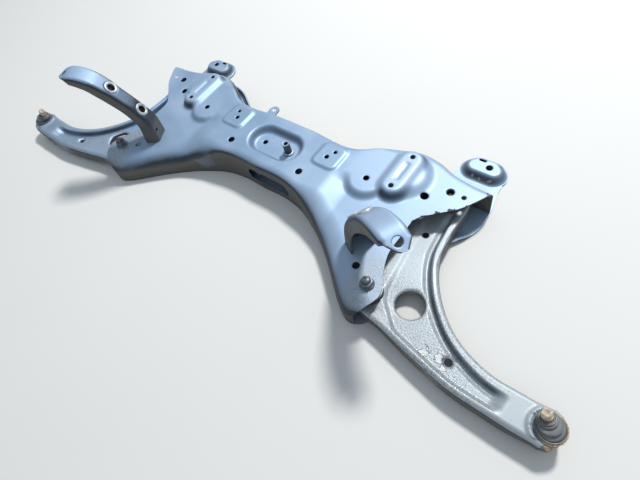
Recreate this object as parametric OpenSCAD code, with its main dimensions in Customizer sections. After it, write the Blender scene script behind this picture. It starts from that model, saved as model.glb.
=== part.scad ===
/* [Pressings] */
// Sheet thickness of the upper and lower pressings
sheet_t = 3; // [2:0.25:4]
// Height of the main top face above the ground
top_z = 77; // [72:1:84]
// Height of the outer plates that cover the rear bushes
plate_z = 66; // [64:1:70]
// Height of the front tongues that hold the front bushes
tongue_z = 64; // [62:1:68]
// Height of the steering-rack beads
bead_z = 85; // [80:1:92]
// Bend radius of the front edge at the middle
front_bend = 13; // [8:1:18]
// Bend radius of the flared front edge beside the middle
flare_bend = 38; // [24:1:44]
// Bend radius of the rear edge
rear_bend = 16; // [8:1:22]
// Ledge of the lower pressing behind the upper one
rear_ledge = 6; // [5:0.5:9]
// Height of the turned-up rear rim of the lower pressing
rear_rim = 16; // [10:1:22]

/* [Pressed features] */
// Distance of the round plateau from the middle
disc_x = 220; // [210:1:228]
// Flat radius of the round plateau
disc_r = 29; // [22:1:33]
// Distance of the steering-rack beads from the middle
bead_x = 273; // [266:1:280]
// Flat half width of the beads
bead_r = 15; // [13:0.5:18]
// Distance of the raised pads from the middle
pad_x = 127; // [122:1:132]
// Height of the raised pads
pad_rise = 4; // [2:0.5:6]
// Depth of the oval recess in the middle
recess_depth = 15; // [10:1:18]
// Half spacing of the two places in the recess
recess_hole_x = 33; // [26:1:36]

/* [Holes] */
// Hole in each round plateau
disc_hole_d = 11.5; // [8:0.5:16]
// Front hole of each raised pad
pad_front_d = 9; // [6:0.5:12]
// Rear hole of each raised pad
pad_rear_d = 7.5; // [5:0.5:10]
// Hole near the front edge
front_hole_d = 14; // [8:0.5:18]
// Steering-rack bolt holes in the beads
rack_hole_d = 9.4; // [9:0.1:10.4]
// Fore and aft spacing of the rack bolt holes
rack_hole_gap = 75; // [70:1:80]
// Larger holes in the outer plates
plate_hole_d = 14.6; // [10:0.2:18]
// Small hole in the outer plates
plate_small_d = 8; // [5:0.5:10]
// Hole in each tongue beside the front pivot
tongue_hole_d = 13; // [8:0.5:16]
// Hole in the recess floor
recess_hole_d = 11; // [7:0.5:14]
// Body bolt hole in each rear mount
mount_hole_d = 12.5; // [10:0.5:14]

/* [Pivots] */
// Front pivot distance from the middle
front_pivot_x = 340; // [337:0.5:342]
// Front pivot fore and aft
front_pivot_y = -177; // [-180:0.5:-174]
// Rear pivot distance from the middle
rear_pivot_x = 365; // [362:0.5:367]
// Rear pivot fore and aft
rear_pivot_y = 51; // [48:0.5:54]
// Height of the swing axis
pivot_z = 35; // [33:0.5:36]
// Height of the lower seats of the bush cores
seat_z = 14; // [13.5:0.1:14.5]

/* [Bushes] */
// Outer radius of the bush shells
bush_r = 23; // [21:0.5:25]
// Half height of the bushes
bush_half = 15; // [13:0.5:15.5]
// Wall of the bush shells
bush_wall = 2; // [1.5:0.25:3]
// Outer radius of the bush cores
core_r = 10; // [9:0.25:11]
// Room between rubber and core at the waist
rubber_gap = 0.7; // [0.6:0.05:1]
// Room between rubber and core at the ends, for the swing of the arm
rubber_flare = 5.6; // [5.2:0.1:7]

/* [Fasteners] */
// Thread diameter of the pivot bolts
bolt_d = 12; // [10:0.5:12.5]
// Room between bolt and hole
bolt_gap = 0.3; // [0.15:0.05:0.5]
// Width across flats of the pivot nuts and heads
hex_af = 19; // [17:0.5:20]
// Height of the pivot nuts and heads
hex_h = 9.5; // [8:0.5:10]
// Width across flats of the rack weld nuts
rack_nut_af = 15; // [14:0.5:16]
// Height of the rack weld nuts
rack_nut_h = 8; // [6:0.5:10]

/* [Control arms] */
// Sheet thickness of the arms
arm_t = 3.5; // [3:0.25:4.5]
// Height of the rims of the arms
arm_rim_z = 40; // [39:0.5:41]
// Depth of the web below the rims
arm_web_depth = 10; // [6:0.5:12]
// Height of the lower edge of the arm's flanges
arm_edge_z = 11; // [9:0.5:14]
// Diameter of the large round hole
arm_hole_d = 49; // [40:1:52]
// Depth of the turned-down lip of the large hole
arm_lip = 10; // [6:0.5:12]
// Diameter of the small round hole
arm_small_d = 12; // [8:0.5:16]

/* [Horns] */
// Sheet thickness of the horns
horn_t = 3; // [2:0.25:4]
// Width of the horns
horn_w = 44; // [40:1:48]
// Depth of the flanges in the middle
horn_flange = 26; // [22:0.5:30]
// Depth of the flanges at the foot
horn_foot_flange = 32; // [28:0.5:36]
// Depth of the flanges at the tip
horn_tip_flange = 11; // [10.5:0.5:15]
// Body bolt hole in the tip
horn_hole_d = 15; // [11:0.5:17]
// Outer diameter of the sleeves in the horns
horn_sleeve_d = 27; // [24:0.5:29]
// Bore of the sleeves in the horns
horn_sleeve_bore = 14.5; // [11:0.5:17]

/* [Ball joints] */
// Ball centre distance from the middle
ball_x = 661; // [658:0.5:664]
// Ball centre fore and aft
ball_y = -217; // [-219:0.5:-215]
// Height of the ball centre
ball_z = 25; // [24:0.5:26]
// Radius of the ball
ball_r = 12.5; // [11.5:0.25:13]
// Running room between ball and seat
ball_gap = 0.05; // [0.02:0.01:0.1]
// Diameter of the stud
stud_d = 15.6; // [14:0.2:16]
// Length of the stud from the ball centre
stud_len = 49; // [46:1:52]
// Lean of the stud towards the middle
stud_lean_in = 18; // [16:0.5:20]
// Lean of the stud to the rear
stud_lean_back = 9.4; // [7:0.1:11]

/* [Hidden] */
$fn = 64;
steel_black = [0.30, 0.36, 0.42];
bare_steel = [0.62, 0.64, 0.66];
rust = [0.55, 0.36, 0.22];
rubber_black = [0.10, 0.10, 0.11];
seat_white = [0.85, 0.84, 0.78];
eps = 0.01;

// Plan of the pressings on the right half: y over x for the long edges, x over y for the outer ones
tip_x = front_pivot_x + 9;
tip_y = front_pivot_y - 64;
corner_x = rear_pivot_x + 64;
corner_y = rear_pivot_y + 36;
front_edge = [[0, -79], [60, -78], [110, -87], [160, -110], [200, -135], [240, -165],
              [275, -195], [310, -223], [tip_x, tip_y]];
rear_edge = [[0, 59], [60, 58], [105, 54], [140, 54], [170, 62], [205, 84], [240, 105],
             [275, 114], [315, 109], [350, 96], [390, 89], [corner_x, corner_y]];
tongue_end = [[tip_y, tip_x], [front_pivot_y - 42, front_pivot_x + 15],
              [front_pivot_y - 23, front_pivot_x + 24], [front_pivot_y - 8, front_pivot_x + 28],
              [front_pivot_y + 10, front_pivot_x + 23]];
upper_outer = [each tongue_end, [front_pivot_y + 36, front_pivot_x + 9],
               [front_pivot_y + 70, front_pivot_x - 2], [-60, 339],
               [rear_pivot_y - 79, rear_pivot_x - 23], [rear_pivot_y - 51, rear_pivot_x + 3],
               [rear_pivot_y - 26, rear_pivot_x + 29], [rear_pivot_y + 10, rear_pivot_x + 52],
               [corner_y, corner_x]];
ear_x = 385;
ear_y = 169;
ear_z = 20;
ear_rear = [[300, 112], [322, 120], [337, 157], [354, 175], [ear_x, 179], [409, 164], [421, 134]];
lower_outer = [each tongue_end, [-140, 356], [-110, 360], [-60, 376], [-18, 398], [0, 409], [16, 419],
               [44, 429], [87, 430], [134, 421]];

// Places of pivots and holes on the right half
front_pivot = [front_pivot_x, front_pivot_y];
rear_pivot = [rear_pivot_x, rear_pivot_y];
plate_holes = [[rear_pivot_x - 35, rear_pivot_y - 29], [rear_pivot_x, rear_pivot_y]];
plate_small = [rear_pivot_x + 26, rear_pivot_y];
tongue_hole = [front_pivot_x - 36, front_pivot_y + 20];
front_hole = [94, -49];
left_hole = [-290, 10];
left_hole_d = 5;
pad_holes = [[pad_x - 3, 5, pad_front_d], [pad_x + 6, 22, pad_rear_d]];
rack_y = 2;
recess_y = -11;
recess_half = 29;
recess_flat = 23;
recess_foot = 40;
groove_depth = 2.5;
groove_ends = [rack_y + 19, rack_y + 56];
pad_y = 10;
pad_half = [28, 29];
pad_corner = 13;
slot_centre_x = 21;
slot_half = 40;
slot_r = 16;
slot_z = 32;

// Blends, distances and smooth curves
function mix(a, b, t) = a + (b - a) * t;
function limit(t) = max(0, min(1, t));
function smooth(a, b, t) = let (s = limit((t - a) / (b - a))) s * s * (3 - 2 * s);
function from_line(p, a, b) =
    let (d = b - a, l2 = d * d, t = l2 == 0 ? 0 : limit((p - a) * d / l2)) norm(p - a - t * d);
function lobe(p, a, b, flat, foot) = 1 - smooth(flat, foot, from_line(p, a, b));
function knot(k, x, i = 0) = i >= len(k) - 2 || x < k[i + 1][0] ? i : knot(k, x, i + 1);
function tangent(k, i) =
    let (a = max(0, i - 1), b = min(len(k) - 1, i + 1)) (k[b][1] - k[a][1]) / (k[b][0] - k[a][0]);
function hermite(p, q, m, n, t) =
    (2 * pow(t, 3) - 3 * t * t + 1) * p + (pow(t, 3) - 2 * t * t + t) * m
    + (3 * t * t - 2 * pow(t, 3)) * q + (pow(t, 3) - t * t) * n;
function curve(k, x) =
    let (i = knot(k, x), h = k[i + 1][0] - k[i][0], t = limit((x - k[i][0]) / h))
    hermite(k[i][1], k[i + 1][1], tangent(k, i) * h, tangent(k, i + 1) * h, t);
function route(p, s) =
    let (n = len(p) - 1, i = min(n - 1, floor(s * n)), t = s * n - i,
         m = (p[i + 1] - p[max(0, i - 1)]) / (i == 0 ? 1 : 2),
         e = (p[min(n, i + 2)] - p[i]) / (i == n - 1 ? 1 : 2))
    hermite(p[i], p[i + 1], m, e, t);

// A formed sheet: grid[i][j] is its outer face, and the inner face lies one thickness behind it.
// A first or last row that is a cut wall edge keeps its edge level.
function level(n) = let (f = [n[0], n[1], 0]) f / norm(f);
function face_normal(g, i, j) =
    let (a = g[min(i + 1, len(g) - 1)][j] - g[max(i - 1, 0)][j],
         b = g[i][min(j + 1, len(g[0]) - 1)] - g[i][max(j - 1, 0)], n = cross(a, b)) n / norm(n);
function edge_normal(g, i, j, first, last) =
    let (n = face_normal(g, i, j)) (j == 0 && first) || (j == len(g[0]) - 1 && last) ? level(n) : n;
function strip(a, b, c, d) = [[a, b, c], [a, c, d]];

module formed_sheet(g, t, first = false, last = false) {
    nu = len(g);
    nv = len(g[0]);
    m = nu * nv;
    outer = [for (i = [0:nu - 1]) for (j = [0:nv - 1]) g[i][j]];
    inner = [for (i = [0:nu - 1]) for (j = [0:nv - 1]) g[i][j] - t * edge_normal(g, i, j, first, last)];
    sides = [for (i = [0:nu - 2]) for (j = [0:nv - 2]) let (a = i * nv + j, b = a + nv)
             each concat(strip(a, a + 1, b + 1, b), strip(m + a, m + b, m + b + 1, m + a + 1))];
    ends = [for (i = [0:nu - 2]) let (a = i * nv, b = a + nv, c = a + nv - 1, d = b + nv - 1)
            each concat(strip(a, b, m + b, m + a), strip(d, c, m + c, m + d))];
    tips = [for (j = [0:nv - 2]) let (a = j, b = (nu - 1) * nv + j)
            each concat(strip(a + 1, a, m + a, m + a + 1), strip(b, b + 1, m + b + 1, m + b))];
    polyhedron(concat(outer, inner), concat(sides, ends, tips), convexity = 8);
}

// Height of the upper pressing over the plan
function rounded_box(p, half, r) =
    let (q = [abs(p[0]) - half[0] + r, abs(p[1]) - half[1] + r])
    norm([max(q[0], 0), max(q[1], 0)]) + min(max(q[0], q[1]), 0) - r;
function raised(p) =
    1 - smooth(150, 205, p[0]) * (1 - lobe(p, [disc_x, 0], [disc_x, 0], disc_r, disc_r + 17))
    * (1 - lobe(p, [150, 30], [bead_x, 45], 34, 60));
function low_z(p) = mix(tongue_z, plate_z, smooth(-85, -40, p[1]));
function upper_z(x, y) =
    let (p = [abs(x), y], low = low_z(p), base = mix(low, top_z, raised(p)),
         bead = lobe(p, [bead_x, rack_y + 5], [bead_x, rack_y + rack_hole_gap - 5], bead_r, bead_r + 18),
         groove = lobe(p, [bead_x, groove_ends[0]], [bead_x, groove_ends[1]], 2, 6),
         pad = 1 - smooth(-4, 4, rounded_box(p - [pad_x, pad_y], pad_half, pad_corner)),
         dish = lobe(p, [0, recess_y], [recess_half, recess_y], recess_flat, recess_foot))
    mix(base, bead_z, bead) - groove_depth * groove + pad_rise * pad - recess_depth * dish;

// Upper pressing: front wall, front bend, top, rear bend, rear wall
upper_cols = 34;
upper_rows = 16;
bend_steps = [0, 24, 48, 70];
front_reach = 1.15;
function flare(x) = smooth(95, 165, x);
function upper_plan(u, w) =
    let (a = abs(u), y = mix(curve(front_edge, a * tip_x), curve(rear_edge, a * corner_x), w))
    [sign(u) * a * curve(upper_outer, mix(tip_y, corner_y, w)), y];
function upper_depth(u) = upper_plan(u, 1)[1] - upper_plan(u, 0)[1];
function upper_at(u, w, drop) = let (p = upper_plan(u, w)) [p[0], p[1], upper_z(p[0], p[1]) - drop];
function upper_column(u) =
    let (x = abs(u) * tip_x, f = mix(front_bend, flare_bend, flare(x)), d = upper_depth(u),
         w0 = f * front_reach / d, w1 = 1 - rear_bend / d, a = upper_plan(u, 0), b = upper_plan(u, 1))
    concat([[a[0], a[1], sheet_t]],
           [for (q = bend_steps) upper_at(u, w0 * (1 - cos(q)), f * (1 - sin(q)))],
           [for (j = [0:upper_rows]) upper_at(u, mix(w0, w1, j / upper_rows), 0)],
           [for (k = [3:-1:0]) let (q = bend_steps[k])
            upper_at(u, 1 - (1 - w1) * (1 - cos(q)), rear_bend * (1 - sin(q)))],
           [[b[0], b[1], sheet_t]]);

module drill(p, d, low, high) {
    translate([p[0], p[1], low]) cylinder(d = d, h = high - low);
}

module both(p) {
    for (s = [-1, 1]) translate([s * p[0], p[1], 0]) children();
}

module upper_shell() {
    low = tongue_z - sheet_t - 8;
    high = bead_z + 10;
    color(steel_black) difference() {
        formed_sheet([for (i = [-upper_cols:upper_cols]) upper_column(i / upper_cols)], sheet_t, true, true);
        both([disc_x, 0]) drill([0, 0], disc_hole_d, low, high);
        for (h = pad_holes) both(h) drill([0, 0], h[2], low, high);
        both(front_hole) drill([0, 0], front_hole_d, low, high);
        for (y = [rack_y, rack_y + rack_hole_gap]) both([bead_x, y]) drill([0, 0], rack_hole_d, low, high);
        for (y = [rack_y, rack_y + rack_hole_gap]) both([bead_x, y])
            drill([0, 0], rack_nut_af + 4, bead_z - sheet_t - rack_nut_h, bead_z - sheet_t);
        for (h = plate_holes) both(h) drill([0, 0], plate_hole_d, low, high);
        both(plate_small) drill([0, 0], plate_small_d, low, high);
        both(tongue_hole) drill([0, 0], tongue_hole_d, low, high);
        both(front_pivot) drill([0, 0], bolt_d + 2 * bolt_gap, low, high);
        drill(left_hole, left_hole_d, low, high);
        drill([-recess_hole_x, recess_y], recess_hole_d, low, high);
        drill([recess_hole_x, recess_y], sleeve_bore, low, high);
        front_slot();
    }
}

// Long opening in the front wall
module front_slot() {
    depth = front_bend + 12;
    translate([slot_centre_x, front_edge[0][1] - depth / 2, slot_z]) {
        for (s = [-1, 1]) translate([s * slot_half, 0, 0])
            rotate([-90, 0, 0]) cylinder(r = slot_r, h = depth);
        translate([-slot_half, 0, -slot_r]) cube([2 * slot_half, depth, 2 * slot_r]);
    }
}

// Lower pressing: a floor with raised bush seats and a turned-up rear rim
lower_cols = 18;
lower_rows = 11;
rim_fold = 9;
rim_angle = 84;
seat_flat = 13.5;
seat_foot = 23;
edge_lip = 7;
ear_end_x = ear_rear[len(ear_rear) - 1][0];
ear_end_y = ear_rear[len(ear_rear) - 1][1];
function lower_rear(x) =
    mix(curve(rear_edge, min(x, corner_x)) + rear_ledge, curve(ear_rear, x), smooth(298, 330, x));
function lip_rise(u, y) =
    edge_lip * smooth(0.97, 1, abs(u)) * smooth(-60, -20, y) * (1 - smooth(0, 30, y));
function lower_at(u, w) =
    let (a = abs(u), x = a * curve(lower_outer, mix(tip_y, ear_end_y, w)),
         y = mix(curve(front_edge, a * tip_x), lower_rear(a * ear_end_x), w))
    [sign(u) * x, y, sheet_t + lip_rise(u, y)];
function fold_at(u, part) =
    let (p = lower_at(u, 1), bend = rim_angle * (1 - smooth(285, 322, abs(p[0]))),
         r = rim_fold / max(1, bend) * 180 / PI, q = bend * min(1, part),
         rest = (rear_rim - rim_fold) * max(0, part - 1))
    p + (bend < 1 ? [0, rim_fold * min(1, part) + rest, 0]
                  : [0, r * sin(q) + rest * cos(bend), r * (1 - cos(q)) + rest * sin(bend)]);
function lower_column(u) =
    concat([for (j = [0:lower_rows]) lower_at(u, j / lower_rows)],
           [for (part = [0.5, 1, 2]) fold_at(u, part)]);

// Raised round seat under a bush
module bush_seat() {
    rotate_extrude()
        polygon([[0, seat_z], [seat_flat, seat_z], [seat_foot, sheet_t], [seat_foot + 1, sheet_t],
                 [seat_foot + 1, 0], [seat_foot - 2, 0], [seat_flat - 1.5, seat_z - sheet_t],
                 [0, seat_z - sheet_t]]);
}

module lower_shell() {
    color(steel_black) difference() {
        union() {
            difference() {
                formed_sheet([for (i = [-lower_cols:lower_cols]) lower_column(i / lower_cols)], sheet_t);
                for (p = [front_pivot, rear_pivot]) both(p) drill([0, 0], 2 * seat_foot - 1, -1, seat_z);
            }
            for (p = [front_pivot, rear_pivot]) both(p) bush_seat();
        }
        for (p = [front_pivot, rear_pivot]) both(p) drill([0, 0], bolt_d + 2 * bolt_gap, -1, seat_z + 5);
        both([ear_x, ear_y]) drill([0, 0], mount_hole_d + 2, -1, ear_z);
    }
}

// Rear body mount: a pressed cap with a spacer tube round its bolt hole
ear_corners = [[358, 166], [395, 166], [388, 172], [364, 172]];
ear_foot_r = 28;
ear_top_r = 19;
ear_tube_wall = 4;
ear_slot_d = 6;
ear_slot_half = 4;

module ear_form(inset) {
    hull() for (c = ear_corners) translate([c[0], c[1], sheet_t])
        cylinder(r1 = ear_foot_r - inset, r2 = ear_top_r - inset, h = ear_z - sheet_t - inset, $fn = 28);
}

module rear_mount() {
    color(steel_black) difference() {
        union() {
            difference() {
                ear_form(0);
                translate([0, 0, -eps]) ear_form(sheet_t);
            }
            drill([ear_x, ear_y], mount_hole_d + 2 * ear_tube_wall, sheet_t, ear_z - sheet_t / 2);
        }
        drill([ear_x, ear_y], mount_hole_d, 0, ear_z + 1);
        ear_slot();
    }
}

// Oval slot behind the bolt hole
module ear_slot() {
    deep = 2 * sheet_t;
    translate([ear_x - 19, ear_y + 12, ear_z - deep]) {
        for (s = [-1, 1]) translate([s * ear_slot_half, 0, 0]) cylinder(d = ear_slot_d, h = deep + 1);
        translate([-ear_slot_half, -ear_slot_d / 2, 0]) cube([2 * ear_slot_half, ear_slot_d, deep + 1]);
    }
}

// Small bent tab at the rear edge, left of the middle
tab_x = -98;
tab_reach = 46;
tab_w = 24;
tab_z = 40;
tab_foot = 14;
tab_hole_d = 9;
tab_gap = 0.3;

module rear_tab() {
    y0 = curve(rear_edge, -tab_x) + tab_gap;
    rise = curve(rear_edge, -tab_x - tab_w / 2) - curve(rear_edge, -tab_x + tab_w / 2);
    color(steel_black) translate([tab_x, y0, tab_z]) rotate([0, 0, atan(rise / tab_w)]) difference() {
        union() {
            translate([-tab_w / 2, 0, -tab_foot]) cube([tab_w, sheet_t, tab_foot]);
            translate([-tab_w / 2, 0, -sheet_t]) cube([tab_w, tab_reach - tab_w / 2, sheet_t]);
            translate([0, tab_reach - tab_w / 2, -sheet_t]) cylinder(d = tab_w, h = sheet_t);
        }
        drill([0, tab_reach - tab_w / 2], tab_hole_d, -2 * sheet_t, sheet_t);
    }
}

// Flanged sleeve that stands in the recess
sleeve_bore = 8;
sleeve_d = 15;
sleeve_flange_d = 23;
sleeve_flange_h = 2.5;
sleeve_h = 27;
sleeve_gap = 0.1;

module centre_sleeve() {
    floor_z = top_z - recess_depth + sleeve_gap;
    color(steel_black) translate([recess_hole_x, recess_y, floor_z]) difference() {
        union() {
            cylinder(d = sleeve_d, h = sleeve_h);
            cylinder(d = sleeve_flange_d, h = sleeve_flange_h);
            translate([0, 0, sleeve_h - 3]) cylinder(d1 = sleeve_d, d2 = sleeve_d + 2, h = 3);
        }
        drill([0, 0], sleeve_bore, -1, sleeve_h + 1);
    }
}

module hex(af, h) {
    cylinder(d = af / cos(30), h = h, $fn = 6);
}

module rack_weld_nuts() {
    color(bare_steel) for (y = [rack_y, rack_y + rack_hole_gap]) both([bead_x, y])
        translate([0, 0, bead_z - sheet_t - rack_nut_h]) difference() {
            hex(rack_nut_af, rack_nut_h);
            drill([0, 0], rack_hole_d - 1, -1, rack_nut_h + 1);
        }
}

// Horn: a curved channel in its own upright plane, foot first. Along is outboard, n looks out of its web.
horn_foot = [297, -116];
horn_turn = -28.8;
horn_route = [[-28, tongue_z], [-28, 110], [-9, 151], [17, 187], [34, 207], [60, 228], [97, 240], [131, 230]];
horn_shift = [-7, 7];
horn_steps = 17;
horn_bend = 9;
horn_hole_s = 0.94;
horn_small_s = 0.075;
horn_small_d = 8;
horn_small_y = -9;
sleeve_s = [0.243, 0.495];
horn_sleeve_drop = 20;
horn_collar = 2;
horn_depth = [[0, horn_foot_flange], [0.3, horn_flange + 1.5], [0.6, horn_flange],
              [0.87, horn_tip_flange + 7], [1, horn_tip_flange]];
horn_half = [[0, horn_w / 2 + 1], [0.3, horn_w / 2 - 4], [0.6, horn_w / 2 - 0.5], [0.87, horn_w / 2 + 0.5],
             [1, horn_w / 2 - 1]];
horn_cut = 11;
function horn_mid(s) = mix(horn_shift[0], horn_shift[1], s);
function horn_dir(s) =
    s <= 0 ? [0, 1] : let (d = route(horn_route, min(1, s + 0.01)) - route(horn_route, s - 0.01)) d / norm(d);
function horn_outer(half, depth) =
    [[half, -depth], for (a = [0:30:90]) [half, 0] + horn_bend * [cos(a) - 1, sin(a) - 1]];
function horn_inner(half, depth) =
    [for (a = [90:-30:0]) [half - horn_bend, -horn_bend] + (horn_bend - horn_t) * [cos(a), sin(a)],
     [half - horn_t, -depth]];
function flip(l) = [for (k = [len(l) - 1:-1:0]) [-l[k][0], l[k][1]]];
function horn_section(front, rear, depth) =
    concat(horn_outer(rear, depth), flip(horn_outer(front, depth)),
           flip(horn_inner(front, depth)), horn_inner(rear, depth));
function horn_ring(s) =
    let (p = route(horn_route, s), d = horn_dir(s), n = [-d[1], d[0]],
         half = curve(horn_half, s),
         section = horn_section(half - horn_cut * smooth(0.88, 1, s), half, curve(horn_depth, s)))
    [for (q = section) [p[0] + n[0] * q[1], horn_mid(s) + q[0], p[1] + n[1] * q[1]]];

module in_horn_plane() {
    translate([horn_foot[0], horn_foot[1], 0]) rotate([0, 0, horn_turn]) children();
}

// Places children on the horn's web, looking out of it
module on_web(s) {
    p = route(horn_route, s);
    d = horn_dir(s);
    translate([p[0], horn_mid(s), p[1]]) rotate([0, atan2(-d[1], d[0]), 0]) children();
}

module lofted(rings) {
    k = len(rings[0]);
    last = (len(rings) - 1) * k;
    half = k / 2;
    walls = [for (i = [0:len(rings) - 2]) for (j = [0:k - 1])
             let (a = i * k + j, b = i * k + (j + 1) % k) each strip(a, a + k, b + k, b)];
    caps = [for (j = [0:half - 2]) let (a = j, b = j + 1, c = k - 2 - j, d = k - 1 - j)
            each concat(strip(a, b, c, d), strip(last + d, last + c, last + b, last + a))];
    polyhedron([for (r = rings) each r], concat(walls, caps), convexity = 6);
}

module horn() {
    color(steel_black) in_horn_plane() difference() {
        lofted([for (i = [0:horn_steps]) horn_ring(i / horn_steps)]);
        on_web(horn_hole_s) drill([0, 0], horn_hole_d, -8, 8);
        for (s = sleeve_s) on_web(s) drill([0, 0], horn_sleeve_d, -8, 8);
        on_web(horn_small_s) drill([0, horn_small_y], horn_small_d, -8, 8);
    }
}

module horn_sleeves() {
    color(bare_steel) in_horn_plane() for (s = sleeve_s) on_web(s) difference() {
        translate([0, 0, -horn_sleeve_drop]) cylinder(d = horn_sleeve_d, h = horn_sleeve_drop + horn_collar);
        drill([0, 0], horn_sleeve_bore, -horn_sleeve_drop - 1, horn_collar + 1);
        translate([0, 0, horn_collar - 1]) cylinder(d1 = horn_sleeve_bore, d2 = horn_sleeve_bore + 4, h = 2);
    }
}

// Ball joint: housing pressed in the arm, seat, stud with its ball, dust boot with two clips
housing_r = 18.5;
housing_wall = 2.6;
housing_flange_r = housing_r + 4;
housing_flange_h = 3.5;
seat_over = 4;
seat_wall = 3;
seat_low = ball_z - ball_r - seat_wall;
housing_low = seat_low - housing_wall;
boot_foot_z = arm_rim_z + housing_flange_h;

// Control arm: a formed sheet between its front edge and its hollow rear edge
arm_tip_room = [17.5, 14.5];
arm_front = [[front_pivot_x - 27, front_pivot_y - 30], [front_pivot_x + 2, front_pivot_y - 37], [388, -221],
             [430, -230], [480, -240], [530, -248], [585, -249], [630, -250],
             [ball_x - 3, ball_y - housing_r - arm_tip_room[0]]];
arm_rear = [[rear_pivot_x - 29, rear_pivot_y + 32], [rear_pivot_x + 31, rear_pivot_y + 22],
            [rear_pivot_x + 38, -10], [412, -66], [446, -123], [497, -168], [560, -191], [620, -191],
            [ball_x - 3, ball_y + housing_r + arm_tip_room[1]]];
arm_cols = 23;
arm_tip_bulge = housing_r + 5.5;
arm_bend = 7;
arm_tuck = 11;
eye_wall = 3;
arm_ridge = [[-260, 432], [-208, 410], [-193, 394], [-167, 372], [-124, 360], [-43, 346], [60, 340]];
arm_web_end = 603;
arm_hole = [409, -158];
arm_small = [506, -208];
arm_rear_hole = [rear_pivot_x - 3, rear_pivot_y - 80];
arm_span = [0, 0.05, 0.1, 0.17, 0.27, 0.4, 0.5, 0.6, 0.73, 0.83, 0.9, 0.95, 1];
function arm_plan(s, t) =
    let (p = mix(route(arm_front, s), route(arm_rear, s), t))
    p + [arm_tip_bulge * smooth(0.86, 1, s) * 4 * t * (1 - t), 0];
function arm_z(s, t) =
    let (p = arm_plan(s, t), w = norm(route(arm_front, s) - route(arm_rear, s)),
         from_front = smooth(8, 21, t * w), from_rear = smooth(11, 25, (1 - t) * w),
         from_ridge = smooth(0, 14, p[0] - curve(arm_ridge, p[1])),
         from_ball = 1 - smooth(arm_web_end - 14, arm_web_end, p[0]), from_bush = 1 - smooth(-45, 0, p[1]))
    arm_rim_z - arm_web_depth * from_front * from_rear * from_ridge * from_ball * from_bush;
function arm_edge(s) = mix(arm_edge_z + arm_tuck, arm_edge_z, smooth(0.24, 0.45, s));
function arm_bend_at(s, t, out, drop) =
    let (p = arm_plan(s, t), c = route(arm_rear, s) - route(arm_front, s), d = c / norm(c))
    [p[0] + d[0] * out, p[1] + d[1] * out, arm_rim_z - drop];
function arm_column(s) =
    concat([arm_bend_at(s, 0, 0, arm_rim_z - arm_edge(s))],
           [for (q = [0, 45]) arm_bend_at(s, 0, arm_bend * (1 - cos(q)), arm_bend * (1 - sin(q)))],
           [for (k = [1:len(arm_span) - 2])
            let (t = arm_span[k], p = arm_plan(s, t)) [p[0], p[1], arm_z(s, t)]],
           [for (q = [45, 0]) arm_bend_at(s, 1, -arm_bend * (1 - cos(q)), arm_bend * (1 - sin(q)))],
           [arm_bend_at(s, 1, 0, arm_rim_z - arm_edge(s))]);

module bush_eye(p) {
    translate([p[0], p[1], pivot_z - bush_half]) cylinder(r = bush_r + eye_wall, h = 2 * bush_half);
}

module control_arm() {
    web_z = arm_rim_z - arm_web_depth;
    color(steel_black) difference() {
        union() {
            formed_sheet([for (i = [0:arm_cols]) arm_column(i / arm_cols)], arm_t, true, true);
            bush_eye(front_pivot);
            bush_eye(rear_pivot);
            drill(arm_hole, arm_hole_d + 2 * arm_t, web_z - arm_lip, web_z - 1);
        }
        for (p = [front_pivot, rear_pivot])
            drill(p, 2 * bush_r, pivot_z - bush_half - 1, pivot_z + bush_half + 1);
        drill(arm_hole, arm_hole_d, 0, arm_rim_z + 5);
        drill(arm_small, arm_small_d, 0, arm_rim_z + 5);
        drill(arm_rear_hole, arm_small_d, 0, arm_rim_z + 5);
        drill([ball_x, ball_y], 2 * housing_r, 0, arm_rim_z + 5);
    }
}

// Bush: shell pressed in the arm, rubber bonded in the shell, core clamped to the pressings
module bush_shell(p) {
    color(bare_steel) translate([p[0], p[1], pivot_z - bush_half]) difference() {
        cylinder(r = bush_r, h = 2 * bush_half);
        drill([0, 0], 2 * (bush_r - bush_wall), -1, 2 * bush_half + 1);
    }
}

module bush_rubber(p) {
    out = bush_r - bush_wall;
    waist = core_r + rubber_gap;
    flare = core_r + rubber_flare;
    color(rubber_black) translate([p[0], p[1], pivot_z]) rotate_extrude()
        polygon([[waist, -1], [flare, -bush_half], [out, -bush_half], [out, bush_half], [flare, bush_half],
                 [waist, 1]]);
}

module bush_core(p, high) {
    color(bare_steel) translate([p[0], p[1], seat_z]) difference() {
        cylinder(r = core_r, h = high - seat_z);
        drill([0, 0], bolt_d + 2 * bolt_gap, -1, high);
    }
}

// Bolt from below, with a hexagon head under the lower pressing
bolt_point = 1.5;
nut_flange_h = 3;
front_core_top = tongue_z - sheet_t;
rear_core_top = plate_z - sheet_t - hex_h;
front_bolt_top = tongue_z + hex_h + 8;
rear_bolt_top = rear_core_top + hex_h / 2;
module pivot_bolt(p, high) {
    low = seat_z - sheet_t;
    color(bare_steel) translate([p[0], p[1], 0]) {
        translate([0, 0, low - hex_h]) hex(hex_af, hex_h);
        translate([0, 0, low - eps]) cylinder(d = bolt_d, h = high - low - bolt_point);
        translate([0, 0, high - bolt_point - 2 * eps])
            cylinder(d1 = bolt_d, d2 = bolt_d - 2 * bolt_point, h = bolt_point);
    }
}

module front_pivot_nut() {
    color(bare_steel) translate([front_pivot_x, front_pivot_y, tongue_z]) difference() {
        union() {
            cylinder(d1 = hex_af + 7, d2 = hex_af + 3, h = nut_flange_h);
            translate([0, 0, nut_flange_h - eps]) hex(hex_af, hex_h - 1);
        }
        drill([0, 0], bolt_d + bolt_gap, -1, hex_h + 4);
    }
}

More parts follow.
